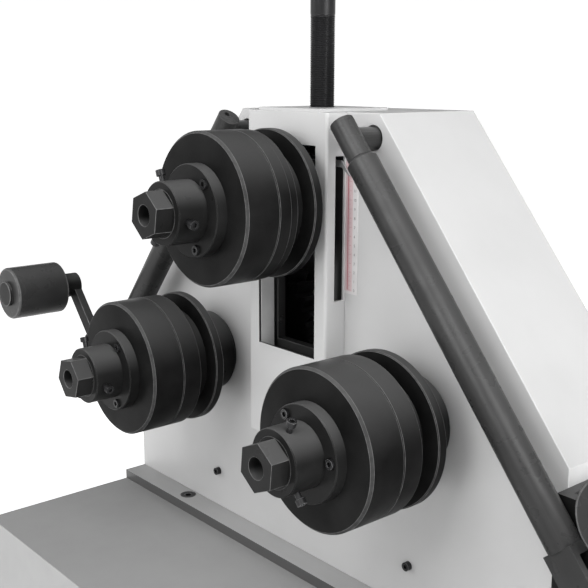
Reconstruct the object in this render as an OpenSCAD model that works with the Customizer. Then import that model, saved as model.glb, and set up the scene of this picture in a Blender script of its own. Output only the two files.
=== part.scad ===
// Three-roller ring roller: a floor cabinet carries a welded head with two
// driven lower roller shafts and one upper roller shaft on a screw-fed slide.
// X runs along the machine, +Y points to its back, +Z up. The origin lies on
// the floor under the middle of the cabinet. Lengths are in millimetres.

/* [Cabinet] */
// Width of the cabinet and of the base plate
cab_w = 740; // [720:1:900]
// Depth of the cabinet
cab_d = 570; // [550:1:700]
// Height of the deck above the floor
cab_h = 700; // [550:1:900]
// Thickness of the folded sheet
cab_t = 3; // [2:0.5:5]
// Radius of the upright corners
cab_r = 8; // [4:1:16]
// Deck from the face of the head's front wall to the cabinet's back
deck_back = 325; // [318:1:360]
// Width of the flanges round the rear opening and on the floor
cab_flange = 50; // [40:1:80]
// Radius of an anchor hole in the floor flange
anchor_r = 7; // [5:0.5:9]
// Thickness of the rear service panel
panel_t = 2; // [1:0.5:4]
// How far the service panel laps over its opening
panel_lap = 18; // [12:1:30]

/* [Base plate] */
// Thickness of the base plate under the head
plate_t = 13.4; // [8:0.1:25]
// Base plate in front of the front wall
plate_front = 31.7; // [26:0.1:45]
// Base plate behind the rear wall
plate_back = 24; // [22:1:40]
// Distance of the base bolts from the head's sides
base_bolt_in = 136.2; // [60:0.1:180]
// Distance of the front base bolts from the front wall
base_bolt_front = 12.5; // [10:0.1:16]
// Radius of a base bolt's shank
base_bolt_r = 5; // [4:0.5:6]
// Radius of a base bolt's flanged head
base_bolt_head_r = 10.5; // [6:0.5:12]
// Height of a base bolt's head
base_bolt_head_h = 8; // [5:0.5:10]

/* [Head] */
// Half width of the head's flat top
head_top_half_w = 117; // [105:1:160]
// Height of the head
head_h = 538; // [537:1:560]
// Height of the head's upright side
head_side_h = 224.5; // [200:0.5:300]
// Depth of the head from front to back
head_d = 151; // [148:1:200]
// Thickness of the front wall and of the rear wall
wall_t = 12; // [8:0.5:16]
// Thickness of the side and top shell
shell_t = 6; // [4:0.5:10]
// Side of the square wear plate on top
pad_w = 104; // [70:1:120]
// Thickness of the square wear plate
pad_t = 3.4; // [2:0.1:8]
// Middle of the wear plate behind the front wall's face
pad_y = 26.4; // [24:0.1:32]
// Half of the distance between the screws low on the front wall
wall_screw_x = 176; // [150:1:200]
// Height of the screws low on the front wall
wall_screw_z = 51; // [40:1:60]

/* [Front cover] */
// Half width of the front cover
cover_half_w = 68.5; // [66:0.5:80]
// How far the front cover stands out of the wall
cover_d = 29.4; // [28:0.1:40]
// Height of the front cover's lower edge
cover_z = 149.5; // [120:0.5:200]
// Thickness of the front cover's sheet
cover_t = 4; // [2:0.5:5]
// Radius of the front cover's upright edges
cover_r = 3.5; // [2:0.5:4]
// Half width of the opening for the slide
open_half_w = 49.7; // [48:0.1:52]
// Drop from the head's top to the upper edge of the opening
open_drop = 36; // [30:1:40]
// Width of the pointer slot
slot_w = 14.2; // [12:0.1:16]
// Strip of the cover between the pointer slot and the wall
slot_back = 1.9; // [1.5:0.1:2.8]
// Radius of the locking screw's hole in the edge of the wall's opening
lock_hole_r = 4.5; // [3:0.5:4.5]
// Height of that hole above the lower edge of the opening
lock_hole_up = 22.4; // [12:0.1:40]

/* [Slide] */
// Width of a guide rail from front to back
rail_w = 20; // [14:0.5:20]
// Thickness of a guide rail
rail_t = 8; // [5:0.5:10]
// Running gap between the slide and its rails
slide_gap = 0.3; // [0.3:0.1:0.6]
// Reach of the slide above the shaft
slide_up = 49.6; // [49:0.1:52]
// Reach of the slide below the shaft
slide_down = 47; // [44:0.5:47]
// Half width of the slide's keeper behind the wall
keeper_half_w = 72; // [60:1:90]
// Thickness of the keeper
keeper_t = 24; // [16:1:30]
// Half width of the slide behind the keeper
slide_rear_half_w = 40; // [40:1:46]
// Depth of the slide behind the front wall's face
slide_rear = 118; // [110:1:124]
// Drop of the slide from rest to its lowest place
slide_drop = 126; // [60:1:126]
// Rise of the slide from rest to its highest place
slide_rise = 4; // [1:1:4]
// Thickness of the pointer
pointer_t = 1.2; // [0.8:0.1:1.4]
// Height of the pointer's tip above the upper shaft
pointer_up = 32.6; // [28:0.1:32.6]
// Width of the pointer in its notch
pointer_w = 7.5; // [6:0.5:7.5]
// How far the pointer slopes down to its tip
pointer_rise = 9; // [6:0.5:9]
// Distance of the pointer's tip from the middle of the machine
pointer_x = 78.9; // [76:0.1:84]

/* [Spindle] */
// Radius of the spindle
spindle_r = 14; // [12:0.1:14.5]
// Distance of the spindle's axis behind the wall's face
spindle_y = 25; // [24.5:0.1:32]
// Height above the head's top of the line where the thread ends
thread_up = 103.8; // [103:0.1:130]
// Height of the handwheel's hub above the head's top
wheel_up = 138; // [130:1:180]
// Radius of the handwheel's rim line
wheel_r = 115; // [90:1:160]
// Radius of the rim's section
rim_r = 10; // [7:0.5:12]
// Radius of the handwheel's hub
wheel_hub_r = 22; // [18:1:30]
// Height of the handwheel's hub
wheel_hub_h = 34; // [28:1:50]
// Length of the revolving handle
knob_h = 82; // [60:1:110]
// Radius of the revolving handle
knob_r = 13; // [10:0.5:16]

/* [Rollers] */
// Radius of the rollers
roller_r = 82.7; // [70:0.1:85]
// Share of the cabinet's width from the middle to each lower shaft
lower_share = 0.24446; // [0.24:0.00001:0.26]
// Height of the lower shafts above the base plate
lower_z = 222.5; // [220:0.1:230]
// Drop from the head's top to the upper shaft at rest
upper_drop = 100.6; // [98:0.1:104]
// Gap from the wall's face to the back of the rear roller
roller_gap = 46; // [40:0.5:60]
// Thickness of the rear roller
rear_roller_w = 11.5; // [8:0.5:20]
// Width of the groove for a profile's leg
groove_w = 22.5; // [15:0.5:30]
// Radius of the spacer at the bottom of the groove
groove_r = 62; // [45:0.5:70]
// Thickness of the middle roller
middle_roller_w = 25.3; // [15:0.1:40]
// Thickness of the front roller
front_roller_w = 42.1; // [25:0.1:60]
// Chamfer on the outer edge of the front roller
roller_chamfer = 2.5; // [1:0.1:4]
// Chamfer on the other roller edges
edge_chamfer = 1; // [0.5:0.1:2]
// Depth of the faint step near the groove on the upper middle roller
roller_step = 0.8; // [0.4:0.1:2]

/* [Shafts] */
// Radius of the shafts under the rollers
shaft_r = 25.6; // [25.6:0.1:28]
// Width across the flats of the hexagonal shaft end
hex_af = 44; // [38:0.5:44]
// Length of the hexagonal shaft end
hex_l = 20.5; // [15:0.5:30]
// Radius of the threaded hole in the shaft end
hex_hole_r = 11; // [6:0.5:14]
// Depth of the threaded hole in the shaft end
hex_hole_l = 40; // [20:1:60]
// Radius of the shoulder behind the rollers
shoulder_r = 38; // [34:0.5:40]
// Radius of the collar behind the lower rollers
lower_collar_r = 51.3; // [49:0.1:54]
// Gap between that collar and the wall's face
collar_gap = 4.5; // [3:0.1:8]
// Width of the keys
key_w = 14; // [8:0.5:16]
// Height of the keys above the shaft
key_h = 4.5; // [3:0.5:6]
// Running clearance between a shaft and its bearing
run_gap = 0.05; // [0.02:0.01:0.1]
// Clearance of a piece that slides on for assembly
slip_gap = 0.15; // [0.1:0.05:0.3]

/* [Retainers] */
// Radius of a retainer's flange
retainer_r = 49.6; // [48:0.1:60]
// Thickness of a retainer's flange
retainer_t = 13; // [8:0.5:18]
// Radius of a retainer's hub
hub_r = 33.5; // [32:0.1:34]
// Length of a retainer's hub
hub_l = 35; // [30:0.5:45]
// Radius of the retainer screws
m6_r = 3; // [2.5:0.5:3]
// Radius of the retainer screws' heads
m6_head_r = 5; // [4.5:0.5:5.5]
// Height of the retainer screws' heads
m6_head_h = 6; // [4:0.5:7]
// How far the heads of a flange's screws are sunk
screw_sink = 3; // [1:0.5:5]
// How far a hub screw's head stands off the hub
screw_standoff = 6.5; // [4:0.5:10]

/* [Bearings] */
// Outer radius of the front bearings of the lower shafts
front_bearing_r = 45; // [43:0.5:50]
// Width of the front bearings of the lower shafts
front_bearing_w = 36; // [24:1:40]
// Radius of the journal in the front bearings
front_journal_r = 30; // [28:0.5:32]
// Outer radius of the rear bearings
rear_bearing_r = 36; // [32:0.5:40]
// Width of the rear bearings
rear_bearing_w = 22; // [16:1:24]
// Radius of the journal in the rear bearings
rear_journal_r = 22; // [18:0.5:24]
// Outer radius of the slide's front bearing
slide_bearing_r = 40; // [38:0.5:42]
// Width of the slide's front bearing
slide_bearing_w = 22; // [16:1:26]
// Outer radius of the slide's rear bearing
slide_rear_bearing_r = 33; // [30:0.5:33]
// Radius of the black flange over each lower bearing
flange_r = 46.5; // [46:0.5:48]
// Share of the collar's gap that the black flange fills
flange_share = 0.89; // [0.8:0.01:0.92]
// Wall of a bearing housing
housing_wall = 10; // [6:0.5:14]

/* [Drive] */
// Share of a lower shaft's distance that is the gears' module
module_share = 0.035931; // [0.0355:0.000001:0.0363]
// Teeth of a shaft gear
gear_teeth = 40; // [40:1:40]
// Teeth of the drive pinion
pinion_teeth = 20; // [20:1:20]
// Face width of the gears
gear_w = 30; // [20:1:34]
// Front face of the gears behind the wall's face
gear_y = 60; // [56:1:64]
// Backlash of the gear teeth
backlash = 0.5; // [0.3:0.1:0.8]
// Radius of the pinion's shaft
pinion_shaft_r = 17.5; // [14:0.5:22]
// Width of the gearbox
gearbox_w = 134; // [120:1:160]
// Depth of the gearbox
gearbox_d = 136; // [124:1:150]
// Height of the gearbox
gearbox_h = 146; // [120:1:160]
// Radius of the gearbox's flange on the rear wall
gearbox_flange_r = 68; // [60:1:72]
// Thickness of the gearbox's flange
gearbox_flange_t = 12; // [8:1:16]
// Radius of the motor
motor_r = 58; // [45:1:62]
// Length of the motor
motor_l = 230; // [180:1:280]

/* [Side struts] */
// Distance of a strut's pivot from the middle of the machine
pivot_x = 108; // [104:0.5:112]
// Drop from the head's top to a strut's pivot
pivot_drop = 26; // [24:0.5:30]
// Distance of the struts in front of the wall
strut_y = 34.9; // [34:0.1:46]
// Shift of the strut's axis outward from its pivot
strut_shift = 2.1; // [0:0.1:6]
// Radius of the strut's head
strut_head_r = 13.2; // [12:0.1:14]
// Reach of the strut's head above its pivot
strut_head_up = 20; // [16:0.5:26]
// Reach of the strut's head below its pivot
strut_head_down = 26.5; // [22:0.5:34]
// Radius of the strut's tube
tube_r = 16.7; // [15:0.1:18]
// Radius of the rod inside the tube
rod_r = 10; // [8:0.5:11]
// Length of the rod inside the tube
rod_l = 150; // [100:1:200]
// Radius of the pivot stub that enters the wall
stub_r = 12; // [9:0.1:12.4]
// Radius of the hole for the stub
stub_hole_r = 13.5; // [13.2:0.1:15]
// Distance of the strut's lower eye outward of the head's side
eye_out = 54.5; // [50:0.5:60]
// Height of the strut's lower eye above the base plate
eye_z = 129.4; // [120:0.1:140]

/* [Guide arms] */
// Distance of an arm's pivot outward of the head's side
arm_out = 70; // [62:1:80]
// Height of an arm's pivot above the base plate
arm_z = 188; // [184:1:194]
// Thickness of the arm
arm_t = 12; // [8:0.5:13]
// Radius of the arm's bosses at its pivot and at its roller
boss_r = 18; // [16:0.5:20]
// Radius of the arm's boss at the strut's eye
eye_boss_r = 14; // [12:0.5:14]
// Half width of the arm between its bosses
arm_half_w = 10; // [8:0.5:10]
// Radius of the arm's pivot pin
arm_pin_r = 10; // [8:0.5:11]
// Radius of the pin in the strut's eye
eye_pin_r = 6; // [5:0.5:7]
// Extra radius of the arm's hole at the strut's eye, the open pivot
open_pivot_gap = 1; // [0.8:0.1:2]
// Guide roller's place outward of the arm's pivot
guide_dx = 65; // [60:1:80]
// Guide roller's place above the arm's pivot
guide_dz = 74; // [66:1:90]
// Radius of the guide roller
guide_r = 38; // [30:0.5:45]
// Width of the guide roller
guide_w = 80; // [60:1:88]
// Radius of the guide roller's axle
axle_r = 10; // [8:0.5:12]
// Thickness of the arm bracket's mounting plate
bracket_t = 10; // [8:0.5:14]
// Length of the mounting plate from front to back
bracket_len = 118; // [100:1:130]
// Height of the mounting plate
bracket_h = 100; // [90:1:110]
// Lower edge of the mounting plate above the base plate
bracket_z0 = 106; // [96:1:120]

/* [Controls] */
// Width of the control box
box_w = 150; // [120:1:200]
// Depth of the control box
box_d = 70; // [50:1:90]
// Height of the control box
box_h = 200; // [170:1:240]
// Distance of the control box's middle from the cabinet's right side
box_in = 130; // [90:1:200]
// Gap from the deck down to the control box
box_top_gap = 30; // [20:1:60]
// Radius of a push button
button_r = 14; // [11:0.5:16]
// Travel of a push button
button_travel = 4; // [2:0.5:5]
// Radius of the stop button's mushroom
stop_r = 20; // [17:0.5:24]

/* [Hidden] */
$fn = 72;

// Colours as the photograph shows them
paint_white = "#d4d4d2";
paint_grey = "#8b8c8d";
black_steel = "#2b2c2e";
satin_steel = "#5d5f61";
ground_steel = "#9b9d9f";
bronze = "#a8834a";
motor_grey = "#6f7478";

// Overrun of every cut past the face that it opens
cut = 1;

// Places of the head on the cabinet
wall_y = cab_d / 2 - deck_back;
deck_z = cab_h + plate_t;

// Stations along the shafts, measured from the wall's face, forward negative
rear_back = -roller_gap;
rear_front = rear_back - rear_roller_w;
middle_back = rear_front - groove_w;
middle_front = middle_back - middle_roller_w;
front_face = middle_front - front_roller_w;
retainer_front = front_face - retainer_t;
hub_front = retainer_front - hub_l;
hex_front = hub_front - hex_l;
hub_screw_y = hub_front + hub_l * 0.3;

// Phases, in degrees, of the hexagons and screws at rest
hex_phase = [20, 10, 24];
axial_phase = [47, 55, 4];
radial_phase = [-10, -12, 71];

// Heights and half widths that follow the head
head_half_w = cab_w / 2;
lower_x = cab_w * lower_share;
base_bolt_x = head_half_w - base_bolt_in;
upper_z = head_h - upper_drop;
pivot_z = head_h - pivot_drop;
open_z1 = head_h - open_drop;
pointer_z = upper_z + pointer_up;
thread_z = head_h + thread_up;
wheel_z = head_h + wheel_up;

// Normal of the head's slanted shoulder, and its distance from the corner
slant_len = norm([head_half_w - head_top_half_w, head_h - head_side_h]);
slant_nx = (head_h - head_side_h) / slant_len;
slant_nz = (head_half_w - head_top_half_w) / slant_len;
slant_c = slant_nx * head_top_half_w + slant_nz * head_h;

// Slide and spindle stations
slide_half_w = open_half_w - slide_gap;
slide_front_gap = 1.4;
slide_front = -cover_d + cover_t + slide_front_gap;
slide_top = upper_z + slide_up;
slide_bottom = upper_z - slide_down;
travel_clear = 0.8;
open_z0 = slide_bottom - slide_drop - travel_clear;
slot_low = 13;
slot_z0 = pointer_z - slide_drop - slot_low;
slot_z1 = pointer_z + pointer_rise + pointer_w + slide_rise + travel_clear;
wall_open_z1 = head_h - shell_t;
nut_clear = 1.5;
nut_z = open_z1 + nut_clear;
nut_half_w = 42;
nut_back = 66;
nut_front = 20;
neck_r = 9;
collar_r = 16;
collar_h = 7.4;
neck_h = 8;
fork_gap = 0.3;
collar_top = slide_top - neck_h;
handle_turn = 150;
knob_seat = 3;
spindle_top = wheel_z + wheel_hub_h;
wheel_bore_r = 11;
rail_back = -cover_d + cover_t + rail_w;
pointer_gap = 0.5;
lock_hole_y = wall_t / 2;
lock_hole_l = 15;
pointer_y = rail_back + pointer_gap;
pointer_root_x = 34;
pointer_lead = 3;
slide_rear_bearing_y = slide_rear - rear_bearing_w;
slide_mid_r = 27.5;
slide_mid_bore_r = 30;
scale_w = 19;
scale_t = 0.8;
scale_low = 8.5;
scale_high = 17;
scale_z0 = slot_z0 + scale_low;
scale_z1 = pointer_z + scale_high;

// Drive stations
gear_m = lower_x * module_share;
gear_pitch_r = gear_m * gear_teeth / 2;
pinion_pitch_r = gear_m * pinion_teeth / 2;
pinion_drop = sqrt(pow(gear_pitch_r + pinion_pitch_r, 2) - pow(lower_x, 2));
pinion_z = lower_z - pinion_drop;
mesh_angle = atan2(pinion_drop, lower_x);
pressure_angle = 20;
gear_seat_r = 28;
gear_hub_r = 44;
gear_hub_w = 10;
bearing_recess = 3;
rear_journal_end = head_d - wall_t + bearing_recess - fork_gap;
gearbox_neck = 14;
motor_y = head_d + gearbox_flange_t + gearbox_neck + gearbox_d / 2;
motor_gap = 8;

// Side strut and guide arm places, in the plane of the struts
eye_x = head_half_w + eye_out;
arm_x = head_half_w + arm_out;
strut_span = norm([eye_x - pivot_x, pivot_z - eye_z]);
strut_l = sqrt(pow(strut_span, 2) - pow(strut_shift, 2));
strut_lean = atan2(eye_x - pivot_x, pivot_z - eye_z) - atan2(strut_shift, strut_l);
fork_t = 7;
fork_len = 48;
fork_slot = 39;
tube_seam = 0.4;
tube_bevel = 3.3;
strut_clear = 12;
socket_r = 3.5;
socket_l = 8;
socket_shift = 5;
stub_grip = 8;
stub_end = wall_t + stub_grip;
stub_collar_r = 17;
guide_lead = 7;
guide_front = front_face + guide_lead;
guide_gap = 0.5;
cap_t = 5;
strut_side_gap = 1.1;
bracket_reach = strut_y - tube_r - strut_side_gap;
ear_t = 12;
bracket_bolt_in = 16;

// Control stations
panel_front = -cab_d / 2 - box_d;
box_x = cab_w / 2 - box_in;
box_z = cab_h - box_top_gap - box_h / 2;
button_rise = 10;
button_stem = 20;
stem_share = 0.6;
box_wall = 3;
button_pitch = box_h / 4;
side_shift_share = 0.23;

module rounded_rect(w, d, r) {
    square([w - 2 * r, d], center = true);
    square([w, d - 2 * r], center = true);
    for (sx = [-1, 1])
        for (sy = [-1, 1])
            translate([sx * (w / 2 - r), sy * (d / 2 - r)]) circle(r = r);
}

module rounded_block(w, d, z0, z1, r) {
    translate([0, 0, z0]) linear_extrude(height = z1 - z0) rounded_rect(w, d, r);
}

// Box between two corners
module span(a, b) {
    translate(a) cube(b - a);
}

// Children's plane outline, X and Z, made solid between two stations along Y
module yplate(y0, y1) {
    translate([0, y1, 0]) rotate([90, 0, 0]) linear_extrude(height = y1 - y0) children();
}

// Cylinder along Y
module ycyl(r, y0, y1) {
    translate([0, y0, 0]) rotate([-90, 0, 0]) cylinder(r = r, h = y1 - y0);
}

// Turned ring along Y with the same chamfer on both outer edges
module yring(r_in, r_out, y0, y1, c0 = 0, c1 = 0) {
    rotate([-90, 0, 0])
        rotate_extrude()
            polygon([[r_in, y0], [r_out - c0, y0], [r_out, y0 + c0],
                     [r_out, y1 - c1], [r_out - c1, y1], [r_in, y1]]);
}

// The head's frame: its origin is on the base plate, at the front wall's face
module on_head() {
    translate([0, wall_y, deck_z]) children();
}

module on_shaft(x, z) {
    on_head() translate([x, 0, z]) children();
}

// Socket cap screw pointing along -Z, its seat at the origin
module cap_screw(r, head_r, head_h, length) {
    difference() {
        union() {
            cylinder(r = head_r, h = head_h);
            translate([0, 0, -length]) cylinder(r = r, h = length + head_h / 2);
        }
        translate([0, 0, head_h / 2]) cylinder(r = r, h = head_h, $fn = 6);
    }
}

function slant_x(z, inset) = (slant_c - inset - slant_nz * z) / slant_nx;
function slant_z(x, inset) = (slant_c - inset - slant_nx * x) / slant_nz;

// Outline of the head, drawn in by an inset on its sides, shoulders and top
module head_outline(inset, bottom) {
    side = head_half_w - inset;
    top = head_h - inset;
    polygon([[-side, bottom], [-side, slant_z(side, inset)], [-slant_x(top, inset), top],
             [slant_x(top, inset), top], [side, slant_z(side, inset)], [side, bottom]]);
}

// Involute gear outline, a tooth centred on the X axis
function involute(rb, r) = let (a = acos(rb / r)) tan(a) * 180 / PI - a;
function flank(rb, r, half, side) = let (a = side * (half - involute(rb, r))) [r * cos(a), r * sin(a)];
module gear_outline(teeth) {
    rp = gear_m * teeth / 2;
    rb = rp * cos(pressure_angle);
    ro = rp + gear_m * 0.95;
    rr = rp - gear_m * 1.25;
    half = 90 / teeth - backlash / rp * 90 / PI + involute(rb, rp);
    r0 = max(rb, rr);
    steps = 4;
    pitch = 360 / teeth;
    points = [for (k = [0:teeth - 1])
        let (turn = k * pitch)
        each concat(
            [[rr * cos(turn - half), rr * sin(turn - half)]],
            [for (i = [0:steps])
                let (p = flank(rb, r0 + (ro - r0) * i / steps, half, -1))
                [p[0] * cos(turn) - p[1] * sin(turn), p[0] * sin(turn) + p[1] * cos(turn)]],
            [for (i = [steps:-1:0])
                let (p = flank(rb, r0 + (ro - r0) * i / steps, half, 1))
                [p[0] * cos(turn) - p[1] * sin(turn), p[0] * sin(turn) + p[1] * cos(turn)]],
            [[rr * cos(turn + half), rr * sin(turn + half)]])];
    polygon(points);
}

module base_bolt_places() {
    for (sx = [-1, 1])
        for (y = [-base_bolt_front, head_d + plate_back / 2])
            translate([sx * base_bolt_x, wall_y + y, 0]) children();
}

module cabinet_shell() {
    color(paint_grey) difference() {
        rounded_block(cab_w, cab_d, 0, cab_h, cab_r);
        rounded_block(cab_w - 2 * cab_t, cab_d - 2 * cab_t, cab_t, cab_h - cab_t, cab_r - cab_t);
        rounded_block(cab_w - 2 * cab_t - 2 * cab_flange, cab_d - 2 * cab_t - 2 * cab_flange,
                      -cut, cab_t + cut, cab_r);
        span([-cab_w / 2 + cab_flange + cab_t, cab_d / 2 - cab_t - cut, cab_flange + cab_t],
             [cab_w / 2 - cab_flange - cab_t, cab_d / 2 + cut, cab_h - cab_flange - cab_t]);
        translate([0, wall_y + motor_y, cab_h - cab_t - cut])
            cylinder(r = motor_r + motor_gap, h = cab_t + 2 * cut);
        base_bolt_places()
            translate([0, 0, cab_h - cab_t - cut])
                cylinder(r = base_bolt_r + slip_gap, h = cab_t + 2 * cut);
        anchor_places() translate([0, 0, -cut]) cylinder(r = anchor_r, h = cab_t + 2 * cut);
        panel_screw_places()
            translate([0, -cab_t - cut, 0]) ycyl(m6_r + slip_gap, 0, cab_t + 2 * cut);
    }
}

module anchor_places() {
    for (sx = [-1, 1])
        for (sy = [-1, 1])
            translate([sx * (cab_w / 2 - cab_t - cab_flange / 2),
                       sy * (cab_d / 2 - cab_t - cab_flange / 2), 0]) children();
}

module panel_screw_places() {
    for (sx = [-1, 1])
        for (z = [cab_flange + cab_t - panel_lap / 2, cab_h / 2, cab_h - cab_flange - cab_t + panel_lap / 2])
            translate([sx * (cab_w / 2 - cab_flange - cab_t + panel_lap / 2), cab_d / 2, z]) children();
}

module rear_panel() {
    color(paint_grey) difference() {
        span([-cab_w / 2 + cab_flange + cab_t - panel_lap, cab_d / 2, cab_flange + cab_t - panel_lap],
             [cab_w / 2 - cab_flange - cab_t + panel_lap, cab_d / 2 + panel_t,
              cab_h - cab_flange - cab_t + panel_lap]);
        panel_screw_places() ycyl(m6_r + slip_gap, -cut, panel_t + cut);
    }
}

module base_plate() {
    color(paint_grey) difference() {
        span([-cab_w / 2, wall_y - plate_front, cab_h],
             [cab_w / 2, wall_y + head_d + plate_back, deck_z]);
        translate([0, wall_y + motor_y, cab_h - cut])
            cylinder(r = motor_r + motor_gap, h = plate_t + 2 * cut);
        base_bolt_places() {
            translate([0, 0, cab_h - cut]) cylinder(r = base_bolt_r + slip_gap, h = plate_t + 2 * cut);
            translate([0, 0, deck_z - base_bolt_head_h])
                cylinder(r = base_bolt_head_r + slip_gap * 4, h = base_bolt_head_h + cut);
        }
    }
}

module base_bolts() {
    color(black_steel)
        base_bolt_places()
            translate([0, 0, deck_z - base_bolt_head_h])
                cap_screw(base_bolt_r, base_bolt_head_r, base_bolt_head_h,
                          plate_t - base_bolt_head_h + cab_t * 4);
}

module lower_places() {
    for (sx = [-1, 1])
        translate([sx * lower_x, 0, lower_z]) children();
}

module front_wall() {
    back = front_bearing_w + bearing_recess;
    color(paint_white) on_head() difference() {
        union() {
            yplate(0, wall_t) head_outline(0, 0);
            lower_places() ycyl(front_bearing_r + housing_wall, 0, back);
            for (sx = [-1, 1])
                translate([sx * pivot_x, 0, pivot_z]) ycyl(stub_hole_r + bearing_recess, 0, stub_end);
        }
        span([-open_half_w, -cut, open_z0], [open_half_w, wall_t + cut, wall_open_z1]);
        lower_places() {
            ycyl(front_bearing_r, -cut, front_bearing_w);
            ycyl(front_bearing_r - bearing_recess, -cut, back + cut);
        }
        translate([0, spindle_y, wall_open_z1 - cut]) cylinder(r = spindle_r + cut, h = shell_t + 2 * cut);
        translate([-open_half_w - lock_hole_l, lock_hole_y, open_z0 + lock_hole_up])
            rotate([0, 90, 0]) cylinder(r = lock_hole_r, h = lock_hole_l + cut);
        for (sx = [-1, 1]) {
            translate([sx * pivot_x, 0, pivot_z]) ycyl(stub_hole_r, -cut, wall_t / 2);
            translate([sx * pivot_x, 0, pivot_z]) ycyl(stub_r + run_gap, -cut, stub_end + cut);
            translate([sx * wall_screw_x, 0, wall_screw_z]) ycyl(m6_r + slip_gap, -cut, wall_t + cut);
        }
    }
}

module side_shell() {
    color(paint_white) on_head() {
        difference() {
            yplate(wall_t, head_d - wall_t) head_outline(0, 0);
            yplate(0, head_d) head_outline(shell_t, -cut);
            translate([0, spindle_y, head_h - shell_t - cut])
                cylinder(r = spindle_r + cut, h = shell_t + 2 * cut);
            for (sx = [-1, 1]) bracket_screw_places(sx) screw_bore();
        }
        difference() {
            span([-pad_w / 2, pad_y - pad_w / 2, head_h], [pad_w / 2, pad_y + pad_w / 2, head_h + pad_t]);
            translate([0, spindle_y, head_h - cut]) cylinder(r = spindle_r + cut, h = pad_t + 2 * cut);
        }
    }
}

module rear_wall() {
    seat = head_d - wall_t + bearing_recess;
    color(paint_white) on_head() difference() {
        union() {
            yplate(head_d - wall_t, head_d) head_outline(0, 0);
            lower_places() ycyl(rear_bearing_r + housing_wall, seat - rear_bearing_w, head_d - wall_t + cut);
        }
        lower_places() ycyl(rear_bearing_r, seat - rear_bearing_w - cut, seat);
        translate([0, 0, pinion_z]) ycyl(pinion_shaft_r + slip_gap * 4, 0, head_d + cut);
        gearbox_screw_places() ycyl(m6_r + slip_gap, -wall_t - cut, cut);
    }
}

module front_cover() {
    color(paint_white) on_head() difference() {
        union() {
            translate([0, 0, cover_z])
                linear_extrude(height = head_h - cover_z)
                    translate([0, -cover_d / 2]) rounded_rect(2 * cover_half_w, cover_d, cover_r);
            span([-cover_half_w, -cover_d / 2, cover_z], [cover_half_w, 0, head_h]);
        }
        span([-cover_half_w + cover_t, -cover_d + cover_t, cover_z + cover_t],
             [cover_half_w - cover_t, cut, head_h - cover_t]);
        span([-open_half_w, -cover_d - cut, open_z0], [open_half_w, 0, open_z1]);
        span([0, -slot_back - slot_w, slot_z0], [cover_half_w + cut, -slot_back, slot_z1]);
    }
}

module guide_rails() {
    color(ground_steel) on_head()
        for (sx = [-1, 1])
            mirror([sx < 0 ? 1 : 0, 0, 0])
                span([open_half_w, -cover_d + cover_t, cover_z + cover_t],
                     [open_half_w + rail_t, rail_back, head_h - cover_t]);
}

module spindle_nut() {
    color(bronze) on_head() difference() {
        span([-nut_half_w, -nut_front, nut_z], [nut_half_w, nut_back, wall_open_z1]);
        translate([0, spindle_y, nut_z - cut])
            cylinder(r = spindle_r + run_gap, h = wall_open_z1 - nut_z + 2 * cut);
    }
}

module scale_strip() {
    color("#e8dcdc") on_head()
        span([cover_half_w + slip_gap, -scale_t, scale_z0], [cover_half_w + slip_gap + scale_w, 0, scale_z1]);
}

module bearing_flanges() {
    color(black_steel) on_head() lower_places()
        yring(shoulder_r + slip_gap * 4, flange_r, -collar_gap * flange_share, 0, edge_chamfer, 0);
}

module lower_bearings() {
    seat = head_d - wall_t + bearing_recess;
    color(ground_steel) on_head() lower_places() {
        yring(front_journal_r + run_gap, front_bearing_r, 0, front_bearing_w, edge_chamfer, edge_chamfer);
        yring(rear_journal_r + run_gap, rear_bearing_r, seat - rear_bearing_w, seat,
              edge_chamfer, edge_chamfer);
    }
}

// Places of the screws, each frame with +Y along the screw into the metal
module wall_screw_places() {
    for (sx = [-1, 1])
        translate([sx * wall_screw_x, 0, wall_screw_z]) children();
}

module gearbox_screw_places() {
    for (a = [45:90:315])
        translate([(gearbox_flange_r - housing_wall) * cos(a), head_d,
                   pinion_z + (gearbox_flange_r - housing_wall) * sin(a)]) children();
}

module bracket_screw_places(sx) {
    for (y = [bracket_bolt_in, bracket_len - bracket_reach - bracket_bolt_in])
        for (z = [bracket_bolt_in, bracket_h - bracket_bolt_in])
            translate([sx * (head_half_w + bracket_t), y, bracket_z0 + z]) rotate([0, sx * 90, 0]) children();
}

module screw_bore() {
    translate([0, 0, -bracket_t - shell_t - cut])
        cylinder(r = m6_r + slip_gap, h = bracket_t + shell_t + 2 * cut);
}

module cap_screws() {
    color(black_steel) {
        on_head() {
            wall_screw_places() rotate([90, 0, 0]) cap_screw(m6_r, m6_head_r, m6_head_h, wall_t);
            gearbox_screw_places()
                translate([0, gearbox_flange_t, 0])
                    rotate([-90, 0, 0]) cap_screw(m6_r, m6_head_r, m6_head_h, gearbox_flange_t + wall_t);
            for (sx = [-1, 1])
                bracket_screw_places(sx) cap_screw(m6_r, m6_head_r, m6_head_h, bracket_t + shell_t);
        }
        panel_screw_places()
            translate([0, panel_t, 0])
                rotate([-90, 0, 0]) cap_screw(m6_r, m6_head_r, m6_head_h, panel_t + cab_t);
    }
}

module gearbox() {
    y0 = head_d + gearbox_flange_t + gearbox_neck;
    color(motor_grey) on_head() translate([0, 0, pinion_z]) difference() {
        union() {
            ycyl(gearbox_flange_r, head_d, y0 - gearbox_neck);
            translate([0, y0 + gearbox_d / 2, 0])
                rounded_block(gearbox_w, gearbox_d, -gearbox_h / 2, gearbox_h / 2, housing_wall);
            ycyl(gearbox_flange_r - housing_wall * 2, head_d, y0 + gearbox_d + bearing_recess);
        }
        ycyl(pinion_shaft_r + run_gap, head_d - cut, y0 + gearbox_d - housing_wall);
        translate([0, -head_d, -pinion_z])
            gearbox_screw_places() ycyl(m6_r + slip_gap, head_d - cut, head_d + gearbox_flange_t + cut);
    }
}

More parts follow.
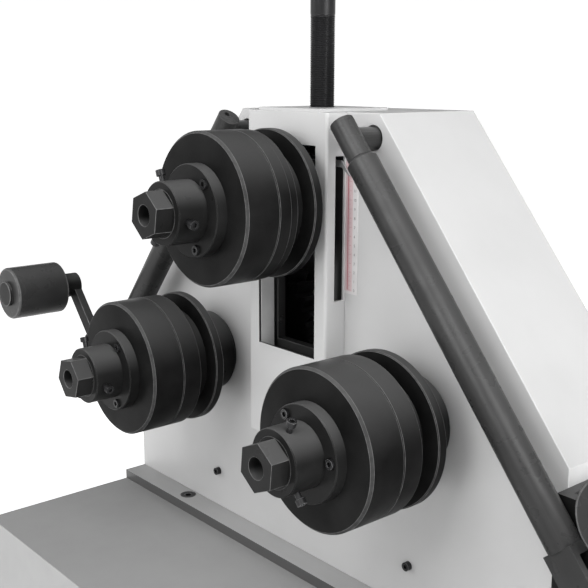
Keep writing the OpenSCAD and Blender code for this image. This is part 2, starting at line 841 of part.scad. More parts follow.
module motor() {
    fins = 24;
    top = pinion_z - gearbox_h / 2;
    adapter = housing_wall;
    fin_h = 4;
    fin_w = 2.5;
    cowl = 46;
    box_side = 44;
    color(motor_grey) on_head() translate([0, motor_y, 0]) {
        translate([0, 0, top - adapter]) cylinder(r = motor_r, h = adapter);
        translate([0, 0, top - motor_l]) cylinder(r = motor_r - fin_h, h = motor_l - cut);
        translate([0, 0, top - motor_l]) cylinder(r = motor_r, h = cowl);
        for (i = [0:fins - 1])
            rotate([0, 0, i * 360 / fins])
                span([0, -fin_w / 2, top - motor_l + cowl],
                     [motor_r - fin_w / 2, fin_w / 2, top - adapter - motor_gap]);
        span([-box_side, -motor_r - box_side, top - motor_l + cowl],
             [box_side, 0, top - motor_l + cowl + box_side * 1.7]);
    }
}

module arm_brackets() {
    pin_front = -strut_y - arm_t / 2 - fork_t - slip_gap;
    color(black_steel) on_head()
        for (sx = [-1, 1])
            mirror([sx < 0 ? 1 : 0, 0, 0]) {
                difference() {
                    span([head_half_w, -bracket_reach, bracket_z0],
                         [head_half_w + bracket_t, bracket_len - bracket_reach, bracket_z0 + bracket_h]);
                    bracket_screw_places(1) screw_bore();
                }
                yplate(-bracket_reach, -bracket_reach + ear_t)
                    polygon([[head_half_w, bracket_z0], [arm_x, arm_z - boss_r], [arm_x, arm_z + boss_r],
                             [head_half_w, bracket_z0 + bracket_h]]);
                translate([arm_x, 0, arm_z]) {
                    ycyl(boss_r, -bracket_reach, -bracket_reach + ear_t);
                    ycyl(arm_pin_r, pin_front, -bracket_reach + ear_t);
                }
            }
}

// Places of the three retainer screws about the axis, at a phase
module around_axis(phase) {
    for (i = [0:2])
        rotate([0, -phase - i * 120, 0]) children();
}

module key(y0, y1) {
    span([-key_w / 2, y0, 0], [key_w / 2, y1, shaft_r + key_h]);
}

module keyway(y0, y1) {
    span([-key_w / 2 - slip_gap, y0 - cut, 0], [key_w / 2 + slip_gap, y1 + cut, shaft_r + key_h + slip_gap]);
}

// Front of a shaft, the same on all three: hexagon, roller seat, key and shoulder
module shaft_front(phase, shoulder_end) {
    hex_r = hex_af / 2 / cos(30);
    difference() {
        union() {
            rotate([0, -phase, 0])
                translate([0, hex_front, 0])
                    rotate([-90, 0, 0]) cylinder(r = hex_r, h = hex_l + cut, $fn = 6);
            ycyl(shaft_r, hub_front, rear_back + cut);
            yring(0, shoulder_r, rear_back, shoulder_end, edge_chamfer, edge_chamfer);
            key(front_face + key_w, rear_back + cut);
        }
        ycyl(hex_hole_r, hex_front - cut, hex_front + hex_hole_l);
    }
}

module lower_shaft(sx, i) {
    color(black_steel) on_shaft(sx * lower_x, lower_z) {
        shaft_front(hex_phase[i], 0);
        yring(0, lower_collar_r, rear_back, -collar_gap, edge_chamfer, edge_chamfer);
        ycyl(front_journal_r, -cut, front_bearing_w + bearing_recess + cut);
        ycyl(gear_seat_r, front_bearing_w + bearing_recess, gear_y + gear_w + gear_hub_w);
        ycyl(rear_journal_r, gear_y + gear_w, rear_journal_end);
        span([-key_w / 2, gear_y, 0], [key_w / 2, gear_y + gear_w, gear_seat_r + key_h]);
    }
}

module upper_shaft() {
    collar = slide_rear + slip_gap;
    collar_w = 10;
    on_roll(0) {
        shaft_front(hex_phase[0], slide_front - slip_gap);
        ycyl(front_journal_r, slide_front - cut, slide_front + slide_bearing_w);
        ycyl(slide_mid_r, slide_front + slide_bearing_w - cut, slide_rear_bearing_y);
        ycyl(rear_journal_r, slide_rear_bearing_y - cut, collar + cut);
        ycyl(slide_rear_bearing_r - edge_chamfer * 3, collar, collar + collar_w);
    }
}

module front_roller() {
    difference() {
        yring(shaft_r + slip_gap, roller_r, front_face, middle_front, roller_chamfer, edge_chamfer);
        keyway(front_face + key_w, middle_front);
    }
}

module middle_roller(step) {
    step_y = middle_back - middle_roller_w * 0.4;
    difference() {
        rotate([-90, 0, 0])
            rotate_extrude()
                polygon([[shaft_r + slip_gap, middle_front], [roller_r - edge_chamfer, middle_front],
                         [roller_r, middle_front + edge_chamfer], [roller_r, step_y],
                         [roller_r - step, step_y + step], [roller_r - step, middle_back - edge_chamfer],
                         [roller_r - step - edge_chamfer, middle_back], [shaft_r + slip_gap, middle_back]]);
        keyway(middle_front, middle_back);
    }
}

module spacer() {
    difference() {
        yring(shaft_r + slip_gap, groove_r, middle_back, rear_front);
        keyway(middle_back, rear_front);
    }
}

module rear_roller() {
    difference() {
        yring(shaft_r + slip_gap, roller_r, rear_front, rear_back, edge_chamfer, edge_chamfer);
        keyway(rear_front, rear_back);
    }
}

module retainer(i) {
    axial_r = (retainer_r + hub_r) / 2;
    difference() {
        union() {
            yring(shaft_r + slip_gap, retainer_r, retainer_front, front_face, edge_chamfer, 0);
            yring(shaft_r + slip_gap, hub_r, hub_front, retainer_front + cut, edge_chamfer, 0);
        }
        around_axis(axial_phase[i])
            translate([axial_r, 0, 0]) {
                ycyl(m6_r + slip_gap, retainer_front, front_face + cut);
                ycyl(m6_head_r + slip_gap * 4, retainer_front - cut, retainer_front + screw_sink);
            }
        around_axis(radial_phase[i])
            translate([shaft_r, hub_screw_y, 0])
                rotate([0, 90, 0]) cylinder(r = m6_r + slip_gap, h = hub_r - shaft_r + cut);
    }
}

module retainer_screws(i) {
    axial_r = (retainer_r + hub_r) / 2;
    around_axis(axial_phase[i])
        translate([axial_r, retainer_front + screw_sink, 0])
            rotate([90, 0, 0]) cap_screw(m6_r, m6_head_r, m6_head_h, retainer_t - screw_sink);
    around_axis(radial_phase[i])
        translate([hub_r + screw_standoff, hub_screw_y, 0])
            rotate([0, 90, 0])
                cap_screw(m6_r, m6_head_r, m6_head_h, hub_r + screw_standoff - shaft_r - slip_gap);
}

// Shaft gear of the right shaft, in mesh with the pinion
module shaft_gear() {
    phase = mesh_angle + 180 - (90 - mesh_angle) * pinion_teeth / gear_teeth + 180 / gear_teeth;
    color(ground_steel) difference() {
        union() {
            yplate(gear_y, gear_y + gear_w) rotate([0, 0, phase]) gear_outline(gear_teeth);
            ycyl(gear_hub_r, gear_y + gear_w, gear_y + gear_w + gear_hub_w);
        }
        ycyl(gear_seat_r + slip_gap, gear_y - cut, gear_y + gear_w + gear_hub_w + cut);
        span([-key_w / 2 - slip_gap, gear_y - cut, 0],
             [key_w / 2 + slip_gap, gear_y + gear_w + slip_gap, gear_seat_r + key_h + slip_gap]);
    }
}

module drive_pinion() {
    lead = 8;
    color(ground_steel) on_shaft(0, pinion_z) {
        yplate(gear_y, gear_y + gear_w) rotate([0, 0, 90]) gear_outline(pinion_teeth);
        ycyl(pinion_shaft_r, gear_y - lead, motor_y + gearbox_d / 2 - housing_wall - cut);
    }
}

module slide() {
    keeper_y0 = wall_t + slide_gap;
    color(satin_steel) on_head() difference() {
        union() {
            span([-slide_half_w, slide_front, slide_bottom], [slide_half_w, keeper_y0 + cut, slide_top]);
            span([-keeper_half_w, keeper_y0, slide_bottom], [keeper_half_w, keeper_y0 + keeper_t, slide_top]);
            span([-slide_rear_half_w, keeper_y0, slide_bottom], [slide_rear_half_w, slide_rear, slide_top]);
        }
        translate([0, 0, upper_z]) {
            ycyl(slide_bearing_r, slide_front - cut, slide_front + slide_bearing_w);
            ycyl(slide_mid_bore_r, slide_front, slide_rear);
            ycyl(slide_rear_bearing_r, slide_rear_bearing_y, slide_rear + cut);
        }
        tee_slot(neck_r + fork_gap, collar_top - cut, slide_top + cut);
        tee_slot(collar_r + fork_gap, collar_top - collar_h - fork_gap * 2, collar_top);
        span([pointer_root_x, pointer_y, pointer_z + pointer_rise],
             [slide_half_w + cut, pointer_y + pointer_t, slide_top + cut]);
    }
}

// Slot in the slide that is open to the right and ends round the spindle
module tee_slot(r, z0, z1) {
    span([0, spindle_y - r, z0], [keeper_half_w + cut, spindle_y + r, z1]);
    translate([0, spindle_y, z0]) cylinder(r = r, h = z1 - z0);
}

module slide_bearings() {
    color(ground_steel) on_shaft(0, upper_z) {
        yring(front_journal_r + run_gap, slide_bearing_r, slide_front, slide_front + slide_bearing_w,
              edge_chamfer, edge_chamfer);
        yring(rear_journal_r + run_gap, slide_rear_bearing_r, slide_rear_bearing_y, slide_rear,
              edge_chamfer, edge_chamfer);
    }
}

module pointer() {
    bend_x = cover_half_w - pointer_lead;
    root_z = pointer_z + pointer_rise;
    color(satin_steel) on_head()
        yplate(pointer_y, pointer_y + pointer_t)
            polygon([[pointer_root_x, root_z], [bend_x, root_z], [pointer_x - pointer_t, pointer_z],
                     [pointer_x, pointer_z + pointer_t], [bend_x, root_z + pointer_w],
                     [pointer_root_x, root_z + pointer_w]]);
}

module spindle() {
    line_h = 1.2;
    line_d = 0.6;
    color(black_steel) on_head() translate([0, spindle_y, 0]) difference() {
        union() {
            translate([0, 0, collar_top - collar_h]) cylinder(r = collar_r, h = collar_h - fork_gap);
            translate([0, 0, collar_top - collar_h / 2]) cylinder(r = neck_r, h = neck_h + collar_h);
            translate([0, 0, slide_top + fork_gap])
                cylinder(r = spindle_r, h = wheel_z - slide_top - fork_gap);
            translate([0, 0, wheel_z - cut]) cylinder(r = wheel_bore_r, h = spindle_top - wheel_z + cut);
        }
        translate([0, 0, thread_z]) difference() {
            cylinder(r = spindle_r + cut, h = line_h);
            cylinder(r = spindle_r - line_d, h = line_h);
        }
    }
}

// Handwheel: a cranked disc of three spokes between hub and rim, with a handle pin
module handwheel() {
    spoke_r = rim_r * 0.75;
    rim_z = wheel_hub_h / 2;
    pin_r = knob_r * 0.45;
    color(black_steel) on_head() translate([0, spindle_y, wheel_z]) difference() {
        union() {
            cylinder(r = wheel_hub_r, h = wheel_hub_h);
            translate([0, 0, rim_z]) rotate_extrude() translate([wheel_r, 0]) circle(r = rim_r);
            for (a = [0:120:240])
                rotate([0, 0, a + handle_turn + 60]) translate([0, 0, rim_z])
                    rotate([0, 90, 0]) cylinder(r = spoke_r, h = wheel_r);
            rotate([0, 0, handle_turn]) translate([wheel_r, 0, rim_z]) {
                cylinder(r = knob_r, h = rim_r + knob_seat);
                cylinder(r = pin_r, h = rim_r + knob_seat + knob_h - knob_r);
            }
        }
        translate([0, 0, -cut]) cylinder(r = wheel_bore_r + slip_gap / 3, h = wheel_hub_h + 2 * cut);
    }
}

module handle_knob() {
    rim_z = wheel_z + wheel_hub_h / 2;
    pin_r = knob_r * 0.45;
    seat = rim_r + knob_seat + fork_gap;
    color("#1d1e20") on_head() translate([0, spindle_y, rim_z])
        rotate([0, 0, handle_turn]) translate([wheel_r, 0, seat])
            rotate_extrude()
                polygon([[pin_r + run_gap, 0], [knob_r * 0.8, 0], [knob_r * 0.75, knob_h * 0.1],
                         [knob_r, knob_h * 0.45], [knob_r * 0.95, knob_h * 0.8], [knob_r * 0.55, knob_h],
                         [0, knob_h], [0, knob_h - knob_r + cut], [pin_r + run_gap, knob_h - knob_r + cut]]);
}

module control_box() {
    color(motor_grey) difference() {
        translate([box_x, panel_front + box_d / 2, 0])
            rounded_block(box_w, box_d, box_z - box_h / 2, box_z + box_h / 2, cab_r);
        translate([box_x, panel_front + box_d / 2, 0])
            rounded_block(box_w - 2 * box_wall, box_d - 2 * box_wall,
                          box_z - box_h / 2 + box_wall, box_z + box_h / 2 - box_wall, cab_r - box_wall);
        control_place(0) ycyl(stem_share * button_r + run_gap * 4, -cut, box_wall + cut);
        control_place(1) ycyl(stem_share * button_r + run_gap * 4, -cut, box_wall + cut);
        control_place(2) ycyl(stem_share * button_r + run_gap * 4, -cut, box_wall + cut);
        control_place(3) ycyl(stem_share * button_r + run_gap, -cut, box_wall + cut);
    }
}

// Places on the control box: 0 forward, 1 reverse, 2 stop, 3 main switch
module control_place(i) {
    shift = box_w * side_shift_share;
    rise = button_pitch * 1.15;
    place = [[-shift, 0], [shift, 0], [0, -rise], [0, rise]];
    translate([box_x + place[i][0], panel_front, box_z + place[i][1]]) children();
}

module push_button(head_r, rise) {
    yring(0, head_r, -rise - button_travel, -button_travel - slip_gap, edge_chamfer, 0);
    ycyl(stem_share * button_r, -button_travel - 2 * cut, button_stem);
}

module forward_button() {
    color("#2f6b3c") control_place(0) push_button(button_r, button_rise);
}

module reverse_button() {
    color("#2b2c2e") control_place(1) push_button(button_r, button_rise);
}

module stop_button() {
    color("#a3262a") control_place(2) push_button(stop_r, button_rise * 1.5);
}

module main_switch() {
    knob = button_r * 1.2;
    grip_h = 12;
    grip_w = 8;
    base_h = 6;
    color("#1d1e20") control_place(3) {
        ycyl(knob, -base_h, -slip_gap);
        span([-grip_w / 2, -base_h - grip_h, -knob], [grip_w / 2, -base_h + cut, knob]);
        ycyl(stem_share * button_r, -base_h / 2, button_stem);
    }
}

// Frame of the right strut: origin at its pivot, +Z up along the strut
module strut_frame() {
    translate([pivot_x, -strut_y, pivot_z]) rotate([0, -strut_lean, 0]) children();
}

module strut_head() {
    color(satin_steel) {
        strut_frame() translate([strut_shift, 0, 0]) difference() {
            union() {
                translate([0, 0, -strut_head_down])
                    cylinder(r = strut_head_r, h = strut_head_up + strut_head_down);
                translate([0, 0, -strut_head_down - rod_l]) cylinder(r = rod_r, h = rod_l + cut);
            }
            translate([socket_shift, 0, strut_head_up - socket_l])
                cylinder(r = socket_r, h = socket_l + cut, $fn = 6);
        }
        translate([pivot_x, 0, pivot_z]) {
            ycyl(stub_r, -strut_y, stub_end);
            ycyl(stub_collar_r, stub_end + slip_gap, stub_end + bearing_recess);
            ycyl(stub_r - cut, stub_end - cut, stub_end + bearing_recess);
        }
    }
}

module strut_tube() {
    top = -strut_head_down - tube_seam;
    eye = -strut_l;
    cheek_out = arm_t / 2 + slip_gap * 4 + fork_t;
    cheek_in = arm_t / 2 + slip_gap * 4;
    color(satin_steel) strut_frame() translate([strut_shift, 0, 0]) {
        difference() {
            union() {
                rotate_extrude()
                    polygon([[0, eye + fork_len], [tube_r, eye + fork_len], [tube_r, top - tube_bevel],
                             [tube_r - tube_bevel, top], [0, top]]);
                translate([0, 0, eye]) {
                    span([-tube_r, -cheek_out, 0], [tube_r, cheek_out, fork_len + cut]);
                    ycyl(tube_r, -cheek_out, cheek_out);
                }
            }
            translate([0, 0, top - rod_l - strut_clear])
                cylinder(r = rod_r + run_gap, h = rod_l + strut_clear + cut);
            translate([0, 0, eye])
                span([-tube_r - cut, -cheek_in, -tube_r - cut], [tube_r + cut, cheek_in, fork_slot]);
        }
        translate([0, 0, eye]) ycyl(eye_pin_r, -cheek_out - cut * 2, cheek_out + cut * 2);
    }
}

module guide_arm() {
    y0 = -strut_y - arm_t / 2;
    y1 = -strut_y + arm_t / 2;
    ear = -bracket_reach - slip_gap;
    gx = arm_x + guide_dx;
    gz = arm_z + guide_dz;
    color(black_steel) difference() {
        union() {
            yplate(y0, y1) {
                arm_bar([arm_x, arm_z], [eye_x, eye_z]);
                arm_bar([arm_x, arm_z], [gx, gz]);
                translate([eye_x, eye_z]) circle(r = eye_boss_r);
            }
            translate([arm_x, 0, arm_z]) ycyl(boss_r, y0, ear);
            translate([gx, 0, gz]) {
                ycyl(boss_r, guide_front + guide_w + guide_gap, y1);
                ycyl(axle_r, guide_front - guide_gap - cut, y0);
                ycyl(boss_r, guide_front - guide_gap - cap_t, guide_front - guide_gap);
            }
        }
        translate([arm_x, 0, arm_z]) ycyl(arm_pin_r + run_gap, y0 - cut, ear + cut);
        translate([eye_x, 0, eye_z]) ycyl(eye_pin_r + open_pivot_gap, y0 - cut, y1 + cut);
    }
}

// Flat bar between two points
module arm_bar(a, b) {
    d = b - a;
    translate(a) rotate(atan2(d[1], d[0])) translate([0, -arm_half_w]) square([norm(d), 2 * arm_half_w]);
}

module guide_roller() {
    color(satin_steel)
        translate([arm_x + guide_dx, 0, arm_z + guide_dz])
            yring(axle_r + run_gap, guide_r, guide_front, guide_front + guide_w,
                  edge_chamfer * 2, edge_chamfer * 2);
}

module left() {
    on_head() mirror([1, 0, 0]) children();
}

// Blackened pieces on a shaft: 0 the upper, 1 the left, 2 the right
module on_roll(i) {
    x = [0, -lower_x, lower_x];
    z = [upper_z, lower_z, lower_z];
    color(black_steel) on_shaft(x[i], z[i]) children();
}

cabinet_shell();
rear_panel();
base_plate();
base_bolts();
front_wall();
side_shell();
rear_wall();
front_cover();
guide_rails();
spindle_nut();
scale_strip();
bearing_flanges();
lower_bearings();
cap_screws();
gearbox();
motor();
control_box();
arm_brackets();
upper_shaft();
on_roll(0) front_roller();  // upper_front_roller
on_roll(0) middle_roller(roller_step);  // upper_middle_roller
on_roll(0) spacer();  // upper_spacer
on_roll(0) rear_roller();  // upper_rear_roller
on_roll(0) retainer(0);  // upper_retainer
on_roll(0) retainer_screws(0);  // upper_screws
lower_shaft(-1, 1);  // left_shaft
on_roll(1) front_roller();  // left_front_roller
on_roll(1) middle_roller(0);  // left_middle_roller
on_roll(1) spacer();  // left_spacer
on_roll(1) rear_roller();  // left_rear_roller
on_roll(1) retainer(1);  // left_retainer
on_roll(1) retainer_screws(1);  // left_screws
left() translate([lower_x, 0, lower_z]) shaft_gear();  // left_gear
lower_shaft(1, 2);  // right_shaft
on_roll(2) front_roller();  // right_front_roller
on_roll(2) middle_roller(0);  // right_middle_roller
on_roll(2) spacer();  // right_spacer
on_roll(2) rear_roller();  // right_rear_roller
on_roll(2) retainer(2);  // right_retainer
on_roll(2) retainer_screws(2);  // right_screws
on_shaft(lower_x, lower_z) shaft_gear();  // right_gear
slide();
slide_bearings();
pointer();
spindle();
handwheel();
handle_knob();
drive_pinion();
forward_button();
reverse_button();
stop_button();
main_switch();
left() strut_head();  // left_strut_head
left() strut_tube();  // left_strut_tube
left() guide_arm();  // left_guide_arm
left() guide_roller();  // left_guide_roller
on_head() strut_head();  // right_strut_head
on_head() strut_tube();  // right_strut_tube
on_head() guide_arm();  // right_guide_arm
on_head() guide_roller();  // right_guide_roller
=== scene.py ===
# %% [markdown]
# # A three-roller ring roller
# The machine bends bars and tubes into rings between one upper and two lower rollers. Its exact
# shape comes from the imported CAD part, which is loaded first and is never moved. Everything below
# gives that shape the surfaces of the real machine: sprayed sheet steel, blackened turned steel, a
# printed height scale. The last cell measures the box round the dressed model.

import math

import bmesh
import bpy
import numpy as np
from mathutils import Matrix, Vector


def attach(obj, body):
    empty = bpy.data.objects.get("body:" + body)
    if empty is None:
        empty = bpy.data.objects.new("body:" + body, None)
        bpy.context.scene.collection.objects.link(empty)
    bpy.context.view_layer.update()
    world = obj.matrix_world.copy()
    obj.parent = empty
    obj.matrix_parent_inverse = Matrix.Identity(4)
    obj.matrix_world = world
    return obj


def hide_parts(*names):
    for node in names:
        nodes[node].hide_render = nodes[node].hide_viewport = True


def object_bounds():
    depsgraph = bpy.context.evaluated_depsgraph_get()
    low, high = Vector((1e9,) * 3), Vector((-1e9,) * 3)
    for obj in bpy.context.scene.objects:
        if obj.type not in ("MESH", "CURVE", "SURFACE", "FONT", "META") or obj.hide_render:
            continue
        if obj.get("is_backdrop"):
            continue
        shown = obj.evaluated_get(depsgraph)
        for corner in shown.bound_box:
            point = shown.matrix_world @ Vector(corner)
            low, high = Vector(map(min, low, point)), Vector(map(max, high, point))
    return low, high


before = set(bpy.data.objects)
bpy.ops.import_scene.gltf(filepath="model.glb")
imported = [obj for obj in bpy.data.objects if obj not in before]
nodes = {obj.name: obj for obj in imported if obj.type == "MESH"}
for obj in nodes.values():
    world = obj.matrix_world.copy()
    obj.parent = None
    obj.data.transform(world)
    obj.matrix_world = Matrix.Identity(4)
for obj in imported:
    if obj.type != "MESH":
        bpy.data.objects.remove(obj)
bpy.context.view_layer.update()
print("CAD nodes:", len(nodes))

# %% [markdown]
# ## Lengths
# The real machine is drawn in millimetres and Blender works in metres. Most pieces belong to the
# head, so their numbers are counted from the base plate's top, in the middle, at the face of the
# front wall.

# %% Places shared by many pieces
MM = 0.001
FULL_TURN = 2 * math.pi
HEAD = np.array([0.0, -40.0, 713.4])
LOWER_X, LOWER_Z, UPPER_Z = 180.9, 222.5, 437.4
SHAFTS = {"upper": (0.0, UPPER_Z), "left": (-LOWER_X, LOWER_Z), "right": (LOWER_X, LOWER_Z)}
ROLL_BODY = {"upper": "upper_roll", "left": "left_roll", "right": "right_roll"}


def in_head(points):
    """Points in the head's millimetres, as metres in the part's frame: (point + head) / 1000."""
    return (np.asarray(points, float) + HEAD) * MM


print("shafts, mm in the head:", SHAFTS)

# %% [markdown]
# ## One small helper for shader nodes
# A material is a chain of nodes. This helper adds one node, sets its properties, fills its inputs
# with numbers or joins them to the outputs of earlier nodes, and gives the node back. The Mix node
# keeps its colour sockets behind others of the same name, so they are taken by number. A noise
# counts its cells per metre, so each pattern's scale comes from the real size of its cells.

# %% Colours and the node helper
MIX_FIRST, MIX_SECOND, MIX_RESULT = 6, 7, 2
NOISE_SPAN = {"From Min": 0.3, "From Max": 0.7}  # nearly all values of a noise lie in here


def linear(hex_text):
    """sRGB hex to linear: c / 12.92 for small c, else ((c + 0.055) / 1.055) to the power 2.4."""
    parts = np.array([int(hex_text[i : i + 2], 16) for i in (1, 3, 5)]) / 255
    low = parts / 12.92
    high = ((parts + 0.055) / 1.055) ** 2.4
    return (*np.where(parts <= 0.04045, low, high), 1.0)


def per_metre(size_mm):
    """How many cells of this size fit in a metre: 1 / (size / 1000)."""
    return 1 / (size_mm * MM)


def add_node(tree, kind, inputs=(), **settings):
    """Adds one node. inputs maps a socket's name or number to a value or an earlier output."""
    node = tree.nodes.new("ShaderNode" + kind)
    for key, value in settings.items():
        setattr(node, key, value)
    for key, value in dict(inputs).items():
        if isinstance(value, bpy.types.NodeSocket):
            tree.links.new(value, node.inputs[key])
        else:
            node.inputs[key].default_value = value
    return node


def start_material(name, **shader):
    """A new material with one Principled shader; shader names its sockets with _ for spaces."""
    material = bpy.data.materials.new(name)
    material.use_nodes = True
    tree = material.node_tree
    tree.nodes.clear()
    sockets = {key.replace("_", " "): value for key, value in shader.items()}
    principled = add_node(tree, "BsdfPrincipled", sockets)
    add_node(tree, "OutputMaterial", {"Surface": principled.outputs[0]})
    place = add_node(tree, "TexCoord").outputs["Object"]
    return material, tree, principled, place


def two_tones(tree, level, start, stop, first, second):
    """The first colour up to a noise level of start, the second one from stop, mixed in between:
    the second one's share is (level - start) / (stop - start)."""
    share = add_node(tree, "MapRange", {"Value": level, "From Min": start, "From Max": stop})
    both = {"Factor": share.outputs[0], MIX_FIRST: first, MIX_SECOND: second}
    return add_node(tree, "Mix", both, data_type="RGBA").outputs[MIX_RESULT]


def facing_up(tree):
    """How far a face looks up, from -1 to 1: the Z of its normal."""
    normal = add_node(tree, "TexCoord").outputs["Normal"]
    return add_node(tree, "SeparateXYZ", {0: normal}).outputs["Z"]


def inside_box(tree, place, low, high):
    """1 inside a box given in the head's millimetres, 0 outside it.
    Inside, the largest of |place - middle| - half the box's size is below 0."""
    low, high = in_head(low), in_head(high)
    middle, half = (low + high) / 2, (high - low) / 2
    moved = add_node(tree, "VectorMath", {0: place, 1: middle}, operation="SUBTRACT")
    size = add_node(tree, "VectorMath", {0: moved.outputs[0]}, operation="ABSOLUTE")
    past = add_node(tree, "VectorMath", {0: size.outputs[0], 1: half}, operation="SUBTRACT")
    x, y, z = add_node(tree, "SeparateXYZ", {0: past.outputs[0]}).outputs
    most = add_node(tree, "Math", {0: x, 1: y}, operation="MAXIMUM")
    most = add_node(tree, "Math", {0: most.outputs[0], 1: z}, operation="MAXIMUM")
    return add_node(tree, "Math", {0: most.outputs[0], 1: 0.0}, operation="LESS_THAN").outputs[0]


print("mid grey #808080 is", round(float(linear("#808080")[0]), 3), "in linear light")

# %% [markdown]
# ## Sprayed machine paint
# The head looks like steel plate with a smooth semi-gloss enamel. Such paint often has a faint
# orange peel and paler smudges. The orange peel is a bump from noise; the smudges vary the
# roughness more than the colour. The cabinet gets a coarser structure paint. The photo is too small
# to show grains, so the sizes of all noise cells in this lesson were chosen.
# The slide's way looks bare, dark and oily in the photo, so the head's paint ends at the walls of a
# box: outside it the paint shows, inside it dark grey, partly bare oily steel on the cut edges and
# partly painted shade in the hollow behind the cover. The base plate's edges are dark in the photo,
# so its faces that don't look up are drawn dark grey.

# %% Paint materials
SLIDE_WAY = ((-64.4, -28.9, 150.0), (64.4, 13.0, 533.0))
OILY_AND_SHADED_DARK, OILY_AND_SHADED_LIGHT = "#2B2B2B", "#343434"
LOOKS_SIDEWAYS = 0.5  # a face is an edge of the plate when its normal's Z is below this
SMUDGE_MM, RUB_MM = 143.0, 43.5  # cells of the smudges and of the rubbed places


def sprayed_paint(name, base, smudge, peel_mm, deep_mm, rough, masked=None, sideways_colour=None):
    """Paint: the base colour mixed with a smudge colour, and a bump of cells of peel_mm, deep_mm
    high. masked is a box, two corners in the head's millimetres, dark grey inside: bare oily steel
    on the cut edges and painted shade in the hollow.
    sideways_colour is the colour of the faces of a flat plate that don't look up."""
    material, tree, principled, place = start_material(name, Metallic=0.0, IOR=1.5)
    smudges = {"Scale": per_metre(SMUDGE_MM), "Detail": 5.0, "Roughness": 0.55}
    cloud = add_node(tree, "TexNoise", {"Vector": place, **smudges}).outputs[0]
    tone = two_tones(tree, cloud, 0.35, 0.75, linear(base), linear(smudge))
    if masked:
        # Inside the box: bare oily steel on the cut edges, painted shade on the faces in the
        # hollow.
        oily_and_shaded = two_tones(tree, cloud, 0.35, 0.75, linear(OILY_AND_SHADED_DARK), linear(OILY_AND_SHADED_LIGHT))
        both = {"Factor": inside_box(tree, place, *masked), MIX_FIRST: tone, MIX_SECOND: oily_and_shaded}
        tone = add_node(tree, "Mix", both, data_type="RGBA").outputs[MIX_RESULT]
    if sideways_colour:
        # Faces that don't look up get a dark grey.
        test = {0: facing_up(tree), 1: LOOKS_SIDEWAYS}
        sideways = add_node(tree, "Math", test, operation="LESS_THAN").outputs[0]
        both = {"Factor": sideways, MIX_FIRST: tone, MIX_SECOND: linear(sideways_colour)}
        tone = add_node(tree, "Mix", both, data_type="RGBA").outputs[MIX_RESULT]
    tree.links.new(tone, principled.inputs["Base Color"])
    rub = add_node(tree, "TexNoise", {"Vector": place, "Scale": per_metre(RUB_MM), "Detail": 4.0})
    limits = {**NOISE_SPAN, "To Min": rough - 0.05, "To Max": rough + 0.08}
    gloss = add_node(tree, "MapRange", {"Value": rub.outputs[0], **limits})
    tree.links.new(gloss.outputs[0], principled.inputs["Roughness"])
    cells = {"Vector": place, "Scale": per_metre(peel_mm), "Detail": 2.0}
    peel = add_node(tree, "TexNoise", cells).outputs[0]
    bump = add_node(tree, "Bump", {"Height": peel, "Strength": 0.35, "Distance": deep_mm * MM})
    tree.links.new(bump.outputs[0], principled.inputs["Normal"])
    return material


# Semi-gloss off-white: broad soft highlights, hardly any colour.
head_enamel = sprayed_paint("head_enamel", "#B9B9B9", "#B2B2B2", 2.2, 0.05, 0.36, SLIDE_WAY)
# Structure paint: mid grey and nearly matt, with a fine grain in grazing light.
cabinet_enamel = sprayed_paint("cabinet_structure_enamel", "#959595", "#8F8F8F", 1.6, 0.16, 0.5)
# The plate's top is a little lighter than the cabinet, and its faces that don't look up are dark
# grey, which makes a dark line along its edges.
plate_enamel = sprayed_paint(
    "plate_enamel", "#A3A3A3", "#9C9C9C", 2.0, 0.08, 0.42, sideways_colour="#4A4A4A"
)
# Motor, gearbox and control box aren't in the photo: blue-grey enamel is a guess.
motor_enamel = sprayed_paint("motor_enamel", "#6B7075", "#646A70", 1.8, 0.12, 0.4)
print("paints:", [m.name for m in (head_enamel, cabinet_enamel, plate_enamel, motor_enamel)])

# %% [markdown]
# ## Blackened and ground steel
# The rollers and shafts in the photo are black with lighter edges. Blackened turned steel has a
# thin layer, so turning marks show through it and it rubs off along sharp edges. The meshes below
# carry a per-face attribute that is 1 on an edge, less on the front disc's chamfer and 0 elsewhere,
# and the material shows light bare steel there: partly such wear, partly a painted highlight along
# the edges. Turning marks lie on circles about the shaft, so they follow the distance from its
# axis.
# Faces that look up are greyer in the photo, and that grey is painted light from above.

# %% Steel materials
CLOUD_MM, HANDLED_MM = 55.5, 22.2  # cells of two uneven patterns in the black
NICK_MM = 6.25  # cells that break up a light edge
GRAIN_MM = 1.11  # fine grain of the layer
MARK_MM = 0.7  # turning marks; this too was chosen
PAINTED_TOP_LIGHT, PAINTED_TOP_FROM = "#7A7A7A", 0.15  # painted light from above: a lighter grey on faces whose normal's Z is above this
SLOT_SHADE = "#1C1C1C"


